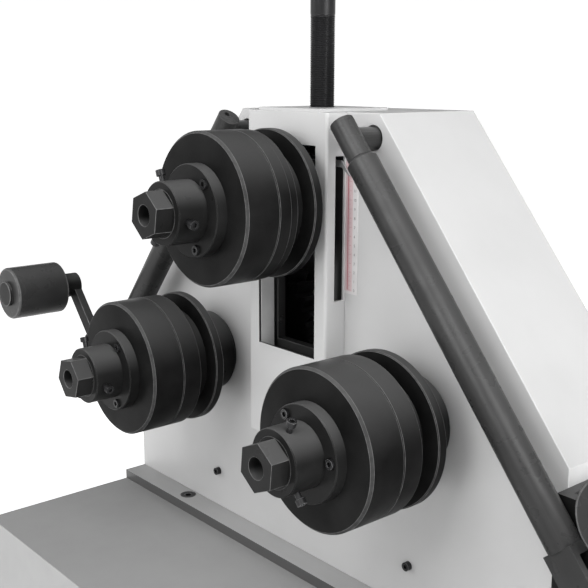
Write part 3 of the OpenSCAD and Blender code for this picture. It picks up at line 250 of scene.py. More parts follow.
def blackened_steel(
    name, dark, light, bare, rough, metallic, shine=0.5, top_light_share=0.0, turned=None, masked=None
):
    """Black layer from dark to light in clouds, light bare steel where the edge attribute says so:
    partly wear, partly a painted highlight.
    top_light_share is the share of a lighter grey, painted light from above, on faces that look
    straight up.
    turned is the X and Z of the shaft's axis: the bump is then a noise over radius plus length.
    masked is a box painted near black as shade, two corners in the head's millimetres."""
    material, tree, principled, place = start_material(
        name, Metallic=metallic, Specular_IOR_Level=shine
    )
    clouds = {"Scale": per_metre(CLOUD_MM), "Detail": 6.0, "Roughness": 0.6}
    cloud = add_node(tree, "TexNoise", {"Vector": place, **clouds}).outputs[0]
    tone = two_tones(tree, cloud, 0.32, 0.72, linear(dark), linear(light))
    worn_and_highlighted = add_node(tree, "Attribute", attribute_name="worn_and_highlighted").outputs["Fac"]
    nicked = {"Vector": place, "Scale": per_metre(NICK_MM), "Detail": 3.0}
    nick = add_node(tree, "TexNoise", nicked).outputs[0]
    limits = {"From Min": 0.25, "From Max": 0.6, "To Min": 0.45, "To Max": 1.0}
    nicks = add_node(tree, "MapRange", {"Value": nick, **limits}).outputs[0]
    share = add_node(tree, "Math", {0: worn_and_highlighted, 1: nicks}, operation="MULTIPLY").outputs[0]
    both = {"Factor": share, MIX_FIRST: tone, MIX_SECOND: linear(bare)}
    tone = add_node(tree, "Mix", both, data_type="RGBA").outputs[MIX_RESULT]
    # Painted light from above: faces that look up are mixed towards a lighter grey.
    if top_light_share:
        limits = {"From Min": PAINTED_TOP_FROM, "From Max": 1.0, "To Min": 0.0, "To Max": top_light_share}
        lies = {"Value": facing_up(tree), **limits}
        share = add_node(tree, "MapRange", lies, interpolation_type="SMOOTHSTEP").outputs[0]
        both = {"Factor": share, MIX_FIRST: tone, MIX_SECOND: linear(PAINTED_TOP_LIGHT)}
        tone = add_node(tree, "Mix", both, data_type="RGBA").outputs[MIX_RESULT]
    if masked:
        # Painted shade: inside the box the colour is near black.
        inside = inside_box(tree, place, *masked)
        both = {"Factor": inside, MIX_FIRST: tone, MIX_SECOND: linear(SLOT_SHADE)}
        tone = add_node(tree, "Mix", both, data_type="RGBA").outputs[MIX_RESULT]
    tree.links.new(tone, principled.inputs["Base Color"])
    handled = {"Vector": place, "Scale": per_metre(HANDLED_MM), "Detail": 5.0}
    rub = add_node(tree, "TexNoise", handled).outputs[0]
    limits = {**NOISE_SPAN, "To Min": rough - 0.07, "To Max": rough + 0.07}
    gloss = add_node(tree, "MapRange", {"Value": rub, **limits})
    tree.links.new(gloss.outputs[0], principled.inputs["Roughness"])
    fine = {"Vector": place, "Scale": per_metre(GRAIN_MM), "Detail": 2.0}
    grain = add_node(tree, "TexNoise", fine).outputs[0]
    if turned:
        axis = {0: place, 1: (turned[0], 0.0, turned[1])}
        moved = add_node(tree, "VectorMath", axis, operation="SUBTRACT").outputs[0]
        flat = add_node(tree, "VectorMath", {0: moved, 1: (1, 0, 1)}, operation="MULTIPLY")
        radius = add_node(tree, "VectorMath", {0: flat.outputs[0]}, operation="LENGTH")
        length = add_node(tree, "SeparateXYZ", {0: place}).outputs["Y"]
        both = {0: radius.outputs["Value"], 1: length}
        along = add_node(tree, "Math", both, operation="ADD").outputs[0]
        marks = {"W": along, "Scale": per_metre(MARK_MM), "Detail": 3.0}
        lathe = add_node(tree, "TexNoise", marks, noise_dimensions="1D").outputs[0]
        grain = add_node(tree, "Math", {0: lathe, 1: grain}, operation="ADD").outputs[0]
    bump = add_node(tree, "Bump", {"Height": grain, "Strength": 0.3, "Distance": 0.04 * MM})
    tree.links.new(bump.outputs[0], principled.inputs["Normal"])
    return material


def shaft_centre(side):
    """The shaft's X and Z in metres in the part's frame."""
    x, z = SHAFTS[side]
    spot = in_head([x, 0, z])
    return float(spot[0]), float(spot[2])


# Rollers: the deepest black, nearly without reflections, greyer on top by painted light from above.
roller_black = {
    side: blackened_steel(
        f"blackened_roller_steel_{side}", "#0E0E0E", "#1C1C1C", "#606060", 0.36, 0.0,
        shine=0.04, top_light_share=0.27, turned=shaft_centre(side),
    )
    for side in SHAFTS
}
# Shafts and retainers: lighter than the rollers in the photo, and greyer on top by painted
# light from above.
shaft_black = blackened_steel(
    "blackened_shaft_steel", "#161616", "#222222", "#626262", 0.34, 0.1, shine=0.06, top_light_share=0.4
)
# Struts: dark grey with a soft sheen, greyer on top by painted light from above.
# The guide rollers aren't in the photo and get the same.
strut_black = blackened_steel(
    "satin_blackened_strut_steel", "#2F2F2F", "#3A3A3A", "#5C5C5C", 0.3, 0.25,
    shine=0.12, top_light_share=0.36,
)
# The spindle is black with oil, and only the crests of its thread are a little lighter.
spindle_black = blackened_steel(
    "oiled_spindle_steel", "#171718", "#202021", "#444445", 0.36, 0.2, shine=0.25
)
# Socket screws: smooth black heads whose rims are drawn light, as wear and a painted glint.
screw_black = blackened_steel(
    "blackened_screw_steel", "#1A1A1B", "#242425", "#727273", 0.34, 0.2, shine=0.3
)
# The handwheel isn't in the photo: a black casting is a guess.
wheel_black = blackened_steel(
    "enamelled_cast_wheel", "#1A1A1B", "#222223", "#6A6A6B", 0.34, 0.0, shine=0.4
)
# The pointer is a light grey blade before the dark slot.
pointer_steel = blackened_steel(
    "bright_pointer_steel", "#8A8B8C", "#9A9B9C", "#B8B9BA", 0.36, 0.4
)
# The rails are ground bright where the slide runs, and painted dark as shade behind the pointer's
# slot.
RAIL_BACK = ((52.0, -40.0, 100.0), (80.0, 20.0, 560.0))
rail_ground = blackened_steel(
    "ground_rail_steel", "#A6A6A6", "#BABABA", "#C8C8C8", 0.34, 0.1, masked=RAIL_BACK
)
# Gears and bearings aren't in the photo: dark, half metallic, without bright edges.
gear_steel = blackened_steel("oily_gear_steel", "#303031", "#3C3C3D", "#505051", 0.42, 0.5)
# The slide is milled and oiled: dark grey, duller than the rails.
slide_steel = blackened_steel(
    "milled_slide_steel", "#2C2C2D", "#383839", "#6A6A6B", 0.36, 0.3, shine=0.3
)
print("roller materials:", [material.name for material in roller_black.values()])

# %% [markdown]
# ## Small finishes
# The scale is a printed film. The nut and the controls aren't in the photo: bronze and moulded
# plastic are guesses.

# %% Bronze, film and plastic
FLOW_MM, LEATHER_MM = 16.7, 0.8  # cells of the plastic's clouds and of its grain


def moulded_plastic(name, colour, rough):
    """Moulded plastic: one colour, up to 12% lighter in clouds, with a fine leather-like grain."""
    material, tree, principled, place = start_material(name, Metallic=0.0, IOR=1.46)
    flow = {"Vector": place, "Scale": per_metre(FLOW_MM), "Detail": 3.0}
    cloud = add_node(tree, "TexNoise", flow).outputs[0]
    base = linear(colour)
    lighter = tuple(min(1.0, c * 1.12) for c in base[:3]) + (1.0,)
    tone = two_tones(tree, cloud, 0.35, 0.7, base, lighter)
    tree.links.new(tone, principled.inputs["Base Color"])
    limits = {**NOISE_SPAN, "To Min": rough, "To Max": rough + 0.08}
    gloss = add_node(tree, "MapRange", {"Value": cloud, **limits})
    tree.links.new(gloss.outputs[0], principled.inputs["Roughness"])
    leather = {"Vector": place, "Scale": per_metre(LEATHER_MM), "Detail": 1.0}
    grain = add_node(tree, "TexNoise", leather).outputs[0]
    bump = add_node(tree, "Bump", {"Height": grain, "Strength": 0.2, "Distance": 0.03 * MM})
    tree.links.new(bump.outputs[0], principled.inputs["Normal"])
    return material


# Machined bronze: warm and metallic.
nut_bronze = blackened_steel("machined_bronze", "#A5793F", "#B58A4C", "#D9B784", 0.35, 1.0)
# Grips and knobs are black and a little glossy, the buttons green and red: guesses too.
black_plastic = moulded_plastic("black_phenolic", "#1C1D1F", 0.28)
green_plastic = moulded_plastic("green_button_plastic", "#2E7D43", 0.3)
red_plastic = moulded_plastic("red_button_plastic", "#B3272B", 0.3)
# The scale is satin film: off-white, with a pale pink band, a red line and grey numbers.
scale_film = moulded_plastic("scale_film", "#C6C4C4", 0.4)
scale_pink = moulded_plastic("scale_pink_ink", "#C4B0B2", 0.45)
scale_red = moulded_plastic("scale_red_ink", "#A04C58", 0.45)
scale_ink = moulded_plastic("scale_grey_ink", "#5E5A5C", 0.5)
print("materials in all:", len(bpy.data.materials))

# %% [markdown]
# ## Meshes from numpy
# A turned piece is a profile carried round an axis. The whole grid of points is worked out at once
# as arrays, and handed to Blender in one call, which is much quicker than adding points one by one.
# Wear and painted edge highlights are stored per face, so that a light edge ends where its rounding
# ends.

# %% Grid surfaces
SMOOTH_GRID, SMOOTH_COPY = math.radians(32), math.radians(34)  # sharper edges stay sharp


def mesh_object(name, points, faces, material, worn_and_highlighted=None):
    """An object from points in metres and faces; worn_and_highlighted holds one value for each
    face, for wear and painted edge highlights.
    """
    mesh = bpy.data.meshes.new(name)
    mesh.from_pydata(np.asarray(points, float).reshape(-1, 3), [], faces)
    if worn_and_highlighted is not None:
        layer = mesh.attributes.new("worn_and_highlighted", "FLOAT", "FACE")
        layer.data.foreach_set("value", np.asarray(worn_and_highlighted, float).ravel())
    mesh.polygons.foreach_set("use_smooth", np.ones(len(mesh.polygons), bool))
    mesh.set_sharp_from_angle(angle=SMOOTH_GRID)
    mesh.materials.append(material)
    made = bpy.data.objects.new(name, mesh)
    bpy.context.scene.collection.objects.link(made)
    return made


def grid_faces(rows, columns, wrap_rows=False):
    """Quads that join a grid of points: each row is closed, and the last row meets the first
    if wrap_rows says so."""
    r = np.arange(rows if wrap_rows else rows - 1)[:, None]
    c = np.arange(columns)[None, :]
    r1, c1 = (r + 1) % rows, (c + 1) % columns
    quads = np.stack([r * columns + c, r * columns + c1, r1 * columns + c1, r1 * columns + c], -1)
    return quads.reshape(-1, 4)


LARGEST_CUT = 0.45  # of a side, so that the roundings at its two ends don't meet


def rounded_profile(corners, fillet, steps=4):
    """A closed polygon of (along, radius) corners, each cut back by fillet and rounded by a
    quadratic curve, (1-t)^2 a + 2t(1-t) corner + t^2 b.
    Also gives each stretch's wear and painted highlight: 1 on an outer rounding, 0 elsewhere."""
    corners = np.asarray(corners, float)
    before, after = np.roll(corners, 1, 0), np.roll(corners, -1, 0)
    to_before, to_after = before - corners, after - corners
    long_before = np.linalg.norm(to_before, axis=1, keepdims=True)
    long_after = np.linalg.norm(to_after, axis=1, keepdims=True)
    cut = np.minimum(fillet, LARGEST_CUT * np.minimum(long_before, long_after))
    a, b = corners + to_before / long_before * cut, corners + to_after / long_after * cut
    t = np.linspace(0, 1, steps + 1)[None, :, None]
    curve = (1 - t) ** 2 * a[:, None] + 2 * t * (1 - t) * corners[:, None] + t**2 * b[:, None]
    turn = to_before[:, 1] * to_after[:, 0] - to_before[:, 0] * to_after[:, 1]
    area = np.sum(corners[:, 0] * after[:, 1] - corners[:, 1] * after[:, 0])
    outer = (turn * np.sign(area) > 0).astype(float)
    stretch = np.repeat(outer[:, None], steps + 1, 1)
    stretch[:, -1] = 0.0
    return curve.reshape(-1, 2), stretch.ravel()


AXES = {"y": ((1, 0, 0), (0, 0, 1), (0, 1, 0)), "z": ((1, 0, 0), (0, 1, 0), (0, 0, 1))}


def turned_grid(profile, stretch, axis="y", count=160):
    """A closed (along, radius) profile carried round the axis:
    point = along * axis + radius * (cos, sin)."""
    angle = np.linspace(0, FULL_TURN, count, endpoint=False)
    u, v, w = (np.array(a, float) for a in AXES[axis])
    ring = np.cos(angle)[:, None] * u + np.sin(angle)[:, None] * v
    points = profile[:, None, 0, None] * w + profile[:, None, 1, None] * ring[None]
    faces = grid_faces(len(profile), count, wrap_rows=True)
    return points, faces, np.repeat(stretch[:, None], count, 1)


def join_grids(grids):
    """Several (points, faces, worn) grids as one, each one's faces counted on from the last."""
    starts = np.cumsum([0] + [np.asarray(p).size // 3 for p, f, w in grids])
    points = np.concatenate([np.asarray(p, float).reshape(-1, 3) for p, f, w in grids])
    faces = np.concatenate([np.asarray(f) + start for (p, f, w), start in zip(grids, starts)])
    return points, faces, np.concatenate([np.asarray(w, float).ravel() for p, f, w in grids])


def outward(piece):
    """Turns the faces of a finished mesh outwards."""
    work = bmesh.new()
    work.from_mesh(piece.data)
    bmesh.ops.recalc_face_normals(work, faces=work.faces)
    work.to_mesh(piece.data)
    work.free()
    return piece


def dress(piece, body, *replaced, slot=None):
    """The piece rides on a body and stands for CAD nodes; slot is not used."""
    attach(piece, body)
    if replaced:
        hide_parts(*replaced)
    return piece


CHAMFER_HIGHLIGHT = 0.3  # painted highlight of a chamfer, where 1 is a light bare edge


def turned_piece(name, corners, fillet, centre, material, axis="y", count=160, highlighted_chamfers=()):
    """A turned piece from (along, radius) corners in millimetres; centre lies on its axis.
    highlighted_chamfers names corners whose straight stretch up to the next one is a chamfer with a
    painted highlight."""
    profile, stretch = rounded_profile(corners, fillet)
    per_corner = len(stretch) // len(corners)
    # Painted highlight: these chamfers are drawn partly as light bare steel.
    for corner in highlighted_chamfers:
        stretch[(corner + 1) * per_corner - 1] = CHAMFER_HIGHLIGHT
    points, faces, wear_and_highlight = turned_grid(profile, stretch, axis, count)
    spots = in_head(points.reshape(-1, 3) + np.array(centre, float))
    return outward(mesh_object(name, spots, faces, material, wear_and_highlight))


print("axes for turned pieces:", list(AXES))

# %% [markdown]
# ## Rounded edges on plates and castings
# No real plate has a knife edge. A copy of the CAD mesh is welded, its flat triangles are joined,
# and its convex edges are rounded by a given number of millimetres. The rounded faces get the
# edge attribute, which the steel materials show as light bare steel: wear and a painted highlight.

# %% Softened copies of CAD nodes
WELD_M, FLAT_ANGLE, SHARP_ANGLE, ROUND_STEPS = 2e-6, math.radians(0.4), math.radians(35.0), 3


def softened(node, width, material, body, slot, pick=None, wear_and_highlight=1.0):
    """A copy of a CAD node whose sharp convex edges are rounded by width millimetres.
    pick takes an edge's two ends in the head's millimetres and says whether it is rounded."""
    work = bmesh.new()
    work.from_mesh(nodes[node].data)
    layer = work.faces.layers.float.new("worn_and_highlighted")
    bmesh.ops.remove_doubles(work, verts=work.verts, dist=WELD_M)
    bmesh.ops.dissolve_limit(work, angle_limit=FLAT_ANGLE, verts=work.verts, edges=work.edges)
    sharp = [
        edge
        for edge in work.edges
        if len(edge.link_faces) == 2 and edge.calc_face_angle_signed(0.0) > SHARP_ANGLE
    ]
    if pick:
        sharp = [edge for edge in sharp if pick(np.array([v.co for v in edge.verts]) / MM - HEAD)]
    made = bmesh.ops.bevel(
        work,
        geom=sharp,
        offset=width * MM,
        segments=ROUND_STEPS,
        profile=0.5,
        affect="EDGES",
        clamp_overlap=True,
    )
    for face in made["faces"]:
        face[layer] = wear_and_highlight
    mesh = bpy.data.meshes.new(node + "_finished")
    work.to_mesh(mesh)
    work.free()
    mesh.polygons.foreach_set("use_smooth", np.ones(len(mesh.polygons), bool))
    mesh.set_sharp_from_angle(angle=SMOOTH_COPY)
    mesh.materials.append(material)
    piece = bpy.data.objects.new(node + "_finished", mesh)
    bpy.context.scene.collection.objects.link(piece)
    flat = piece.modifiers.new("flat faces stay flat", "WEIGHTED_NORMAL")
    flat.keep_sharp = True
    return dress(piece, body, node, slot=slot)


print("edges sharper than", round(math.degrees(SHARP_ANGLE)), "degrees are rounded")

# %% [markdown]
# ## Cabinet and head
# The head's front edges get a small rounding. The joint between the front plate and
# the side plates is drawn as filled, so no edge is rounded there.

# %% Painted plates
NEAR_FRONT, NEAR_BACK, NEAR_TOP = 0.4, 150.6, 538.5  # just off the head's faces, in its millimetres


def on_front(ends):
    """Both ends of the edge lie on the face of the front wall."""
    return bool(np.all(np.abs(ends[:, 1]) < NEAR_FRONT))


def on_rear(ends):
    """Both ends of the edge lie on the back face of the head."""
    return bool(np.all(ends[:, 1] > NEAR_BACK))


def on_top(ends):
    """Both ends of the edge lie above the head's top, so on the wear plate."""
    return bool(np.all(ends[:, 2] > NEAR_TOP))


softened("cabinet_shell", 1.2, cabinet_enamel, "frame", "grey_paint")
softened("rear_panel", 0.7, cabinet_enamel, "frame", "grey_paint")
softened("base_plate", 1.0, plate_enamel, "frame", "grey_paint")
softened("front_wall", 1.1, head_enamel, "frame", "grey_white_paint", on_front)
softened("side_shell", 0.7, head_enamel, "frame", "grey_white_paint", on_top)
softened("rear_wall", 1.1, head_enamel, "frame", "grey_white_paint", on_rear)
softened("front_cover", 0.7, head_enamel, "frame", "grey_white_paint")
softened("control_box", 1.2, motor_enamel, "frame", "grey_paint")
softened("gearbox", 2.5, motor_enamel, "frame", "motor_paint")

# %% [markdown]
# ## Roller stacks
# Each stack has three turned discs and a smaller spacer. Their sharp outer edges carry a small
# rounding drawn as light bare steel, partly wear and partly a painted highlight. The front disc has
# a wider chamfer, drawn partly light as a painted highlight, which shows as a light line.

# %% Discs
ROLLER_R, GROOVE_R, BORE_R = 82.7, 62.0, 25.75
FRONT_Y0, FRONT_Y1 = -147.4, -105.35
MIDDLE_Y0, MIDDLE_Y1 = -105.25, -80.0
REAR_Y0, REAR_Y1 = -57.5, -46.0


def ring_corners(y0, y1, radius, c0, c1):
    """A disc from y0 to y1 with its outer corners cut at 45 degrees by c0 and c1."""
    front = [(y0, BORE_R), (y0, radius - c0), (y0 + c0, radius)]
    return front + [(y1 - c1, radius), (y1, radius - c1), (y1, BORE_R)]


def stack_piece(side, part, corners, fillet, highlighted_chamfers=()):
    """One disc of a stack, on the shaft's body, in place of the CAD node of the same name."""
    x, z = SHAFTS[side]
    node = f"{side}_{part}"
    steel = roller_black[side]
    made = node + "_finished"
    piece = turned_piece(made, corners, fillet, (x, 0, z), steel, count=192, highlighted_chamfers=highlighted_chamfers)
    return dress(piece, ROLL_BODY[side], node, slot="black_oxide")


front = ring_corners(FRONT_Y0, FRONT_Y1, ROLLER_R, 2.5, 0.9)
middle = ring_corners(MIDDLE_Y0, MIDDLE_Y1, ROLLER_R, 0.9, 1.0)
spacer = ring_corners(MIDDLE_Y1, REAR_Y0, GROOVE_R, 0.1, 0.1)
rear = ring_corners(REAR_Y0, REAR_Y1, ROLLER_R, 1.0, 1.0)
step_y, step = -90.1, 0.8
stepped = middle[:3] + [(step_y, ROLLER_R), (step_y + step, ROLLER_R - step)]
stepped += [(y, radius - step) for y, radius in middle[3:5]] + middle[5:]
for side in SHAFTS:
    stack_piece(side, "front_roller", front, 0.22, highlighted_chamfers=(1,))
    stack_piece(side, "middle_roller", stepped if side == "upper" else middle, 0.22)
    stack_piece(side, "spacer", spacer, 0.02)
    stack_piece(side, "rear_roller", rear, 0.28)
print("discs:", 4 * len(SHAFTS))

# %% [markdown]
# ## Shafts, retainers and screws
# The retainers, the hexagonal shaft ends and the screws have holes and sockets, so they keep the
# CAD's form and only get rounded edges.

# %% Shafts, retainers, screws
HEXAGON_Y, OFF_ROLLER_Y = -195.0, FRONT_Y0 - 0.4


def on_hexagon(ends):
    """Both ends of the edge lie on the shaft's hexagonal end, in front of the retainer."""
    return bool(np.all(ends[:, 1] < HEXAGON_Y))


def off_roller(ends):
    """Both ends of the edge lie in front of the face of the roller that the retainer sits on."""
    return bool(np.all(ends[:, 1] < OFF_ROLLER_Y))


for side in SHAFTS:
    body = ROLL_BODY[side]
    softened(f"{side}_shaft", 0.8, shaft_black, body, "black_oxide", on_hexagon)
    softened(f"{side}_retainer", 0.6, shaft_black, body, "black_oxide", off_roller)
    softened(f"{side}_screws", 0.35, screw_black, body, "black_oxide")
softened("cap_screws", 0.35, screw_black, "frame", "black_oxide")
softened("base_bolts", 0.5, screw_black, "frame", "black_oxide")
flange = [(-4.0, 38.6), (-4.0, 45.5), (-3.0, 46.5), (0.0, 46.5), (0.0, 38.6)]
grids = []
for x in (-LOWER_X, LOWER_X):
    points, faces, wear_and_highlight = turned_grid(*rounded_profile(flange, 0.3), "y", 144)
    grids.append((points + np.array([x, 0, LOWER_Z]), faces, wear_and_highlight))
points, faces, wear_and_highlight = join_grids(grids)
flanges = mesh_object("bearing_flanges_finished", in_head(points), faces, shaft_black, wear_and_highlight)
dress(outward(flanges), "frame", "bearing_flanges", slot="black_oxide")

# %% [markdown]
# ## Slide, rails and struts
# The slide runs between the ground rails with the pointer on it. Each strut has a round head in the
# wall and a tube that slides in it; its lower end sets the guide arm.

# %% Slide and rails
softened("slide", 0.8, slide_steel, "slide_block", "satin_steel")
softened("guide_rails", 0.6, rail_ground, "frame", "ground_steel")
softened("pointer", 0.2, pointer_steel, "slide_block", "satin_steel")
for side in ("left", "right"):
    upper, lower = f"{side}_strut_upper", f"{side}_strut_lower"
    softened(f"{side}_strut_head", 2.0, strut_black, upper, "satin_steel", wear_and_highlight=0.15)
    softened(f"{side}_strut_tube", 0.6, strut_black, lower, "satin_steel", wear_and_highlight=0.3)
    softened(f"{side}_guide_arm", 1.0, shaft_black, f"{side}_arm", "black_oxide")
    softened(f"{side}_guide_roller", 1.2, strut_black, f"{side}_guide", "satin_steel")
softened("arm_brackets", 0.8, shaft_black, "frame", "black_oxide")

# %% [markdown]
# ## The screwed spindle
# The thread is 28 mm thick with a pitch of 2 mm. It is a grid whose radius falls and rises with the
# place along the axis, shifted by one pitch in every turn: depth = triangle(z / pitch - angle /
# full turn).

# %% Spindle with its thread
def spindle_points(z0, z1, radius, depth, pitch, per_pitch=10, count=64):
    """A threaded bar from z0 to z1, with narrow flats at crest and root, and no thread left at
    either end, so that the ends are round."""
    rows = int(round((z1 - z0) / pitch * per_pitch)) + 1
    z = np.linspace(z0, z1, rows)[:, None]
    angle = np.linspace(0, FULL_TURN, count, endpoint=False)[None, :]
    phase = np.mod(z / pitch - angle / FULL_TURN, 1.0)
    wave = np.clip((np.abs(phase - 0.5) * 2 - 0.1) / 0.8, 0, 1)
    fade = np.clip(np.minimum(z - z0, z1 - z) / pitch, 0, 1)
    r = radius - depth * (1 - wave) * fade
    grid = np.stack([r * np.cos(angle), r * np.sin(angle), z + 0 * angle], -1)
    return grid, grid_faces(rows, count)


SPINDLE_Y, SPINDLE_R, THREAD_Z, WHEEL_Z, SLIDE_TOP = 25.0, 14.0, 641.8, 676.0, 487.0
THREAD_DEPTH, PITCH, SEAT_R, HUB_H = 0.8, 2.0, 11.0, 34.0
thread, thread_faces = spindle_points(SLIDE_TOP + 0.3, THREAD_Z, SPINDLE_R, THREAD_DEPTH, PITCH)
foot = [
    (SLIDE_TOP - 15.4, 0.01), (SLIDE_TOP - 15.4, 16), (SLIDE_TOP - 8.3, 16), (SLIDE_TOP - 8.3, 9),
    (SLIDE_TOP + 0.3, 9), (SLIDE_TOP + 0.3, SPINDLE_R), (SLIDE_TOP + 0.32, 0.01),
]
neck = [
    (THREAD_Z - 0.02, 0.01), (THREAD_Z, SPINDLE_R), (THREAD_Z, 13.4), (THREAD_Z + 1.2, 13.4),
    (THREAD_Z + 1.2, SPINDLE_R), (WHEEL_Z, SPINDLE_R), (WHEEL_Z, SEAT_R),
    (WHEEL_Z + HUB_H, SEAT_R), (WHEEL_Z + HUB_H, 0.01),
]
grids = [(thread, thread_faces, np.zeros(len(thread_faces)))]
for corners in (foot, neck):
    grids.append(turned_grid(*rounded_profile(corners, 0.15), "z", 64))
points, faces, wear_and_highlight = join_grids(grids)
points = in_head(points + np.array([0, SPINDLE_Y, 0]))
spindle = mesh_object("spindle_finished", points, faces, spindle_black, wear_and_highlight)
dress(outward(spindle), "feed_screw", "spindle", slot="black_oxide")
print("thread turns:", round((THREAD_Z - SLIDE_TOP) / PITCH, 1))

# %% [markdown]
# ## Handwheel and revolving handle
# A cast wheel: a round rim, three spokes that get thinner towards the rim, and a turned hub. The
# handle is a black turned grip on a pin. Both lie above the top of the photo.

# %% Handwheel
WHEEL_R, RIM_R, HUB_R, TURN = 115.0, 10.0, 22.0, 150.0
SPOKE_START, FLATTER = 0.6 * HUB_R, 0.92  # spokes begin inside the hub and are less high than wide


def torus_grid(big, small, z, rows=40, count=144):
    """A round rim: radius = big + small * cos(section angle),
    height = z + small * sin(section angle)."""
    section = np.linspace(0, FULL_TURN, rows, endpoint=False)[:, None]
    angle = np.linspace(0, FULL_TURN, count, endpoint=False)[None, :]
    radius = big + small * np.cos(section)
    height = z + small * np.sin(section) + 0 * angle
    grid = np.stack([radius * np.cos(angle), radius * np.sin(angle), height], -1)
    faces = grid_faces(rows, count, wrap_rows=True)
    return grid, faces, np.zeros(len(faces))


def spoke_grid(turn, z, rows=24, count=40):
    """A spoke that is thinnest in its middle, by a sine, and thinner at the rim than at the hub:
    radius = 7.4 - 1.9 * sin(half turn * along) - 0.8 * along, along from 0 to 1."""
    along = np.linspace(0, 1, rows)[:, None]
    angle = np.linspace(0, FULL_TURN, count, endpoint=False)[None, :]
    thick = 7.4 - 1.9 * np.sin(math.pi * along) - 0.8 * along
    x = SPOKE_START + along * (WHEEL_R - SPOKE_START) + 0 * angle
    y, height = thick * np.cos(angle), thick * np.sin(angle) * FLATTER
    c, s = math.cos(math.radians(turn)), math.sin(math.radians(turn))
    grid = np.stack([x * c - y * s, x * s + y * c, z + height], -1)
    faces = grid_faces(rows, count)
    return grid, faces, np.zeros(len(faces))


rim_z = WHEEL_Z + HUB_H / 2
bore, hub_top = SEAT_R + 0.05, WHEEL_Z + HUB_H
hub = [(WHEEL_Z, bore), (WHEEL_Z, HUB_R), (hub_top, HUB_R), (hub_top, bore)]
grids = [torus_grid(WHEEL_R, RIM_R, rim_z), turned_grid(*rounded_profile(hub, 2.0), "z", 96)]
grids += [spoke_grid(TURN + 60 + a, rim_z) for a in (0, 120, 240)]
BOSS_R, BOSS_H, PIN_R, PIN_H = 13.0, 13.0, 5.85, 82.0
boss = [
    (rim_z, 0.01), (rim_z, BOSS_R), (rim_z + BOSS_H, BOSS_R), (rim_z + BOSS_H, PIN_R),
    (rim_z + PIN_H, PIN_R), (rim_z + PIN_H, 0.01),
]
points, faces, wear_and_highlight = turned_grid(*rounded_profile(boss, 0.8), "z", 48)
seat_angle = math.radians(TURN)
seat = np.array([WHEEL_R * math.cos(seat_angle), WHEEL_R * math.sin(seat_angle), 0])
grids.append((points + seat, faces, wear_and_highlight))
points, faces, wear_and_highlight = join_grids(grids)
points = in_head(points + np.array([0, SPINDLE_Y, 0]))
wheel = mesh_object("handwheel_finished", points, faces, wheel_black, wear_and_highlight)
dress(outward(wheel), "feed_screw", "handwheel", slot="black_oxide")

low = rim_z + 13.3
grip = [
    (low, 5.9), (low, 10.4), (low + 8.2, 9.75), (low + 36.9, 13.0), (low + 65.6, 12.35),
    (low + 82.0, 7.15), (low + 82.0, 0.01), (low + 70.0, 0.01), (low + 70.0, 5.9),
]
pin_place = seat + [0, SPINDLE_Y, 0]
knob = turned_piece("handle_knob_finished", grip, 5.0, pin_place, black_plastic, "z", 64)
dress(knob, "handle", "handle_knob", slot="black_plastic")
print("handwheel points:", len(wheel.data.vertices), "handle points:", len(knob.data.vertices))

# %% [markdown]
# ## Height scale
# The film right of the slot is white with a pink band, and a red line with a mark every millimetre
# runs along it. The photo's numbers can't be read. Their spacing is taken as 10 mm, so the plain
# grey numbers here count the centimetres of the slide's travel.

# %% Film, ink and numbers
FILM_X0, FILM_X1, FILM_Z0, FILM_Z1, ZERO_Z = 68.65, 87.65, 339.5, 487.0, 344.1


BOX_CORNERS = [[i, j, k] for i in (0, 1) for j in (2, 3) for k in (4, 5)]
BOX_SIDES = [[0, 1, 3, 2], [4, 6, 7, 5], [0, 4, 5, 1], [2, 3, 7, 6], [0, 2, 6, 4], [1, 5, 7, 3]]


def slabs(name, boxes, material):
    """Thin boxes given as rows of x0, x1, y0, y1, z0, z1 in the head's frame, as one piece."""
    boxes = np.asarray(boxes, float)
    points = boxes[:, np.array(BOX_CORNERS)].reshape(-1, 3)
    starts = len(BOX_CORNERS) * np.arange(len(boxes))[:, None, None]
    faces = (np.array(BOX_SIDES)[None] + starts).reshape(-1, 4)
    return outward(mesh_object(name, in_head(points), faces, material))


film = slabs("scale_film", [[FILM_X0, FILM_X1, -0.6, 0.0, FILM_Z0, FILM_Z1]], scale_film)
dress(film, "frame", "scale_strip", slot="label_film")
BAND_X1, BAND_Z0 = 79.9, ZERO_Z - 1.5
band = slabs("scale_pink_band", [[FILM_X0, BAND_X1, -0.7, -0.55, BAND_Z0, FILM_Z1]], scale_pink)
dress(band, "frame", slot="label_film")
CENTIMETRES, LONG_MARK, HALF_WAY_MARK, SHORT_MARK = 14, 5.2, 3.4, 2.0
marks = np.arange(CENTIMETRES * 10 + 1)
length = np.where(marks % 5 == 0, HALF_WAY_MARK, SHORT_MARK)
length = np.where(marks % 10 == 0, LONG_MARK, length)
LINE_X0, LINE_X1, INK_Y0, INK_Y1, HALF_MARK = 72.2, 73.1, -0.78, -0.65, 0.11
same = np.ones(len(marks))
ticks = [same * LINE_X1, LINE_X1 - 0.1 + length, same * INK_Y0, same * INK_Y1]
ticks = np.stack(ticks + [ZERO_Z + marks - HALF_MARK, ZERO_Z + marks + HALF_MARK], -1)
line = [[LINE_X0, LINE_X1, INK_Y0, INK_Y1, ZERO_Z - HALF_MARK, FILM_Z1]]
dress(slabs("scale_red_line", np.concatenate([line, ticks]), scale_red), "frame", slot="label_film")

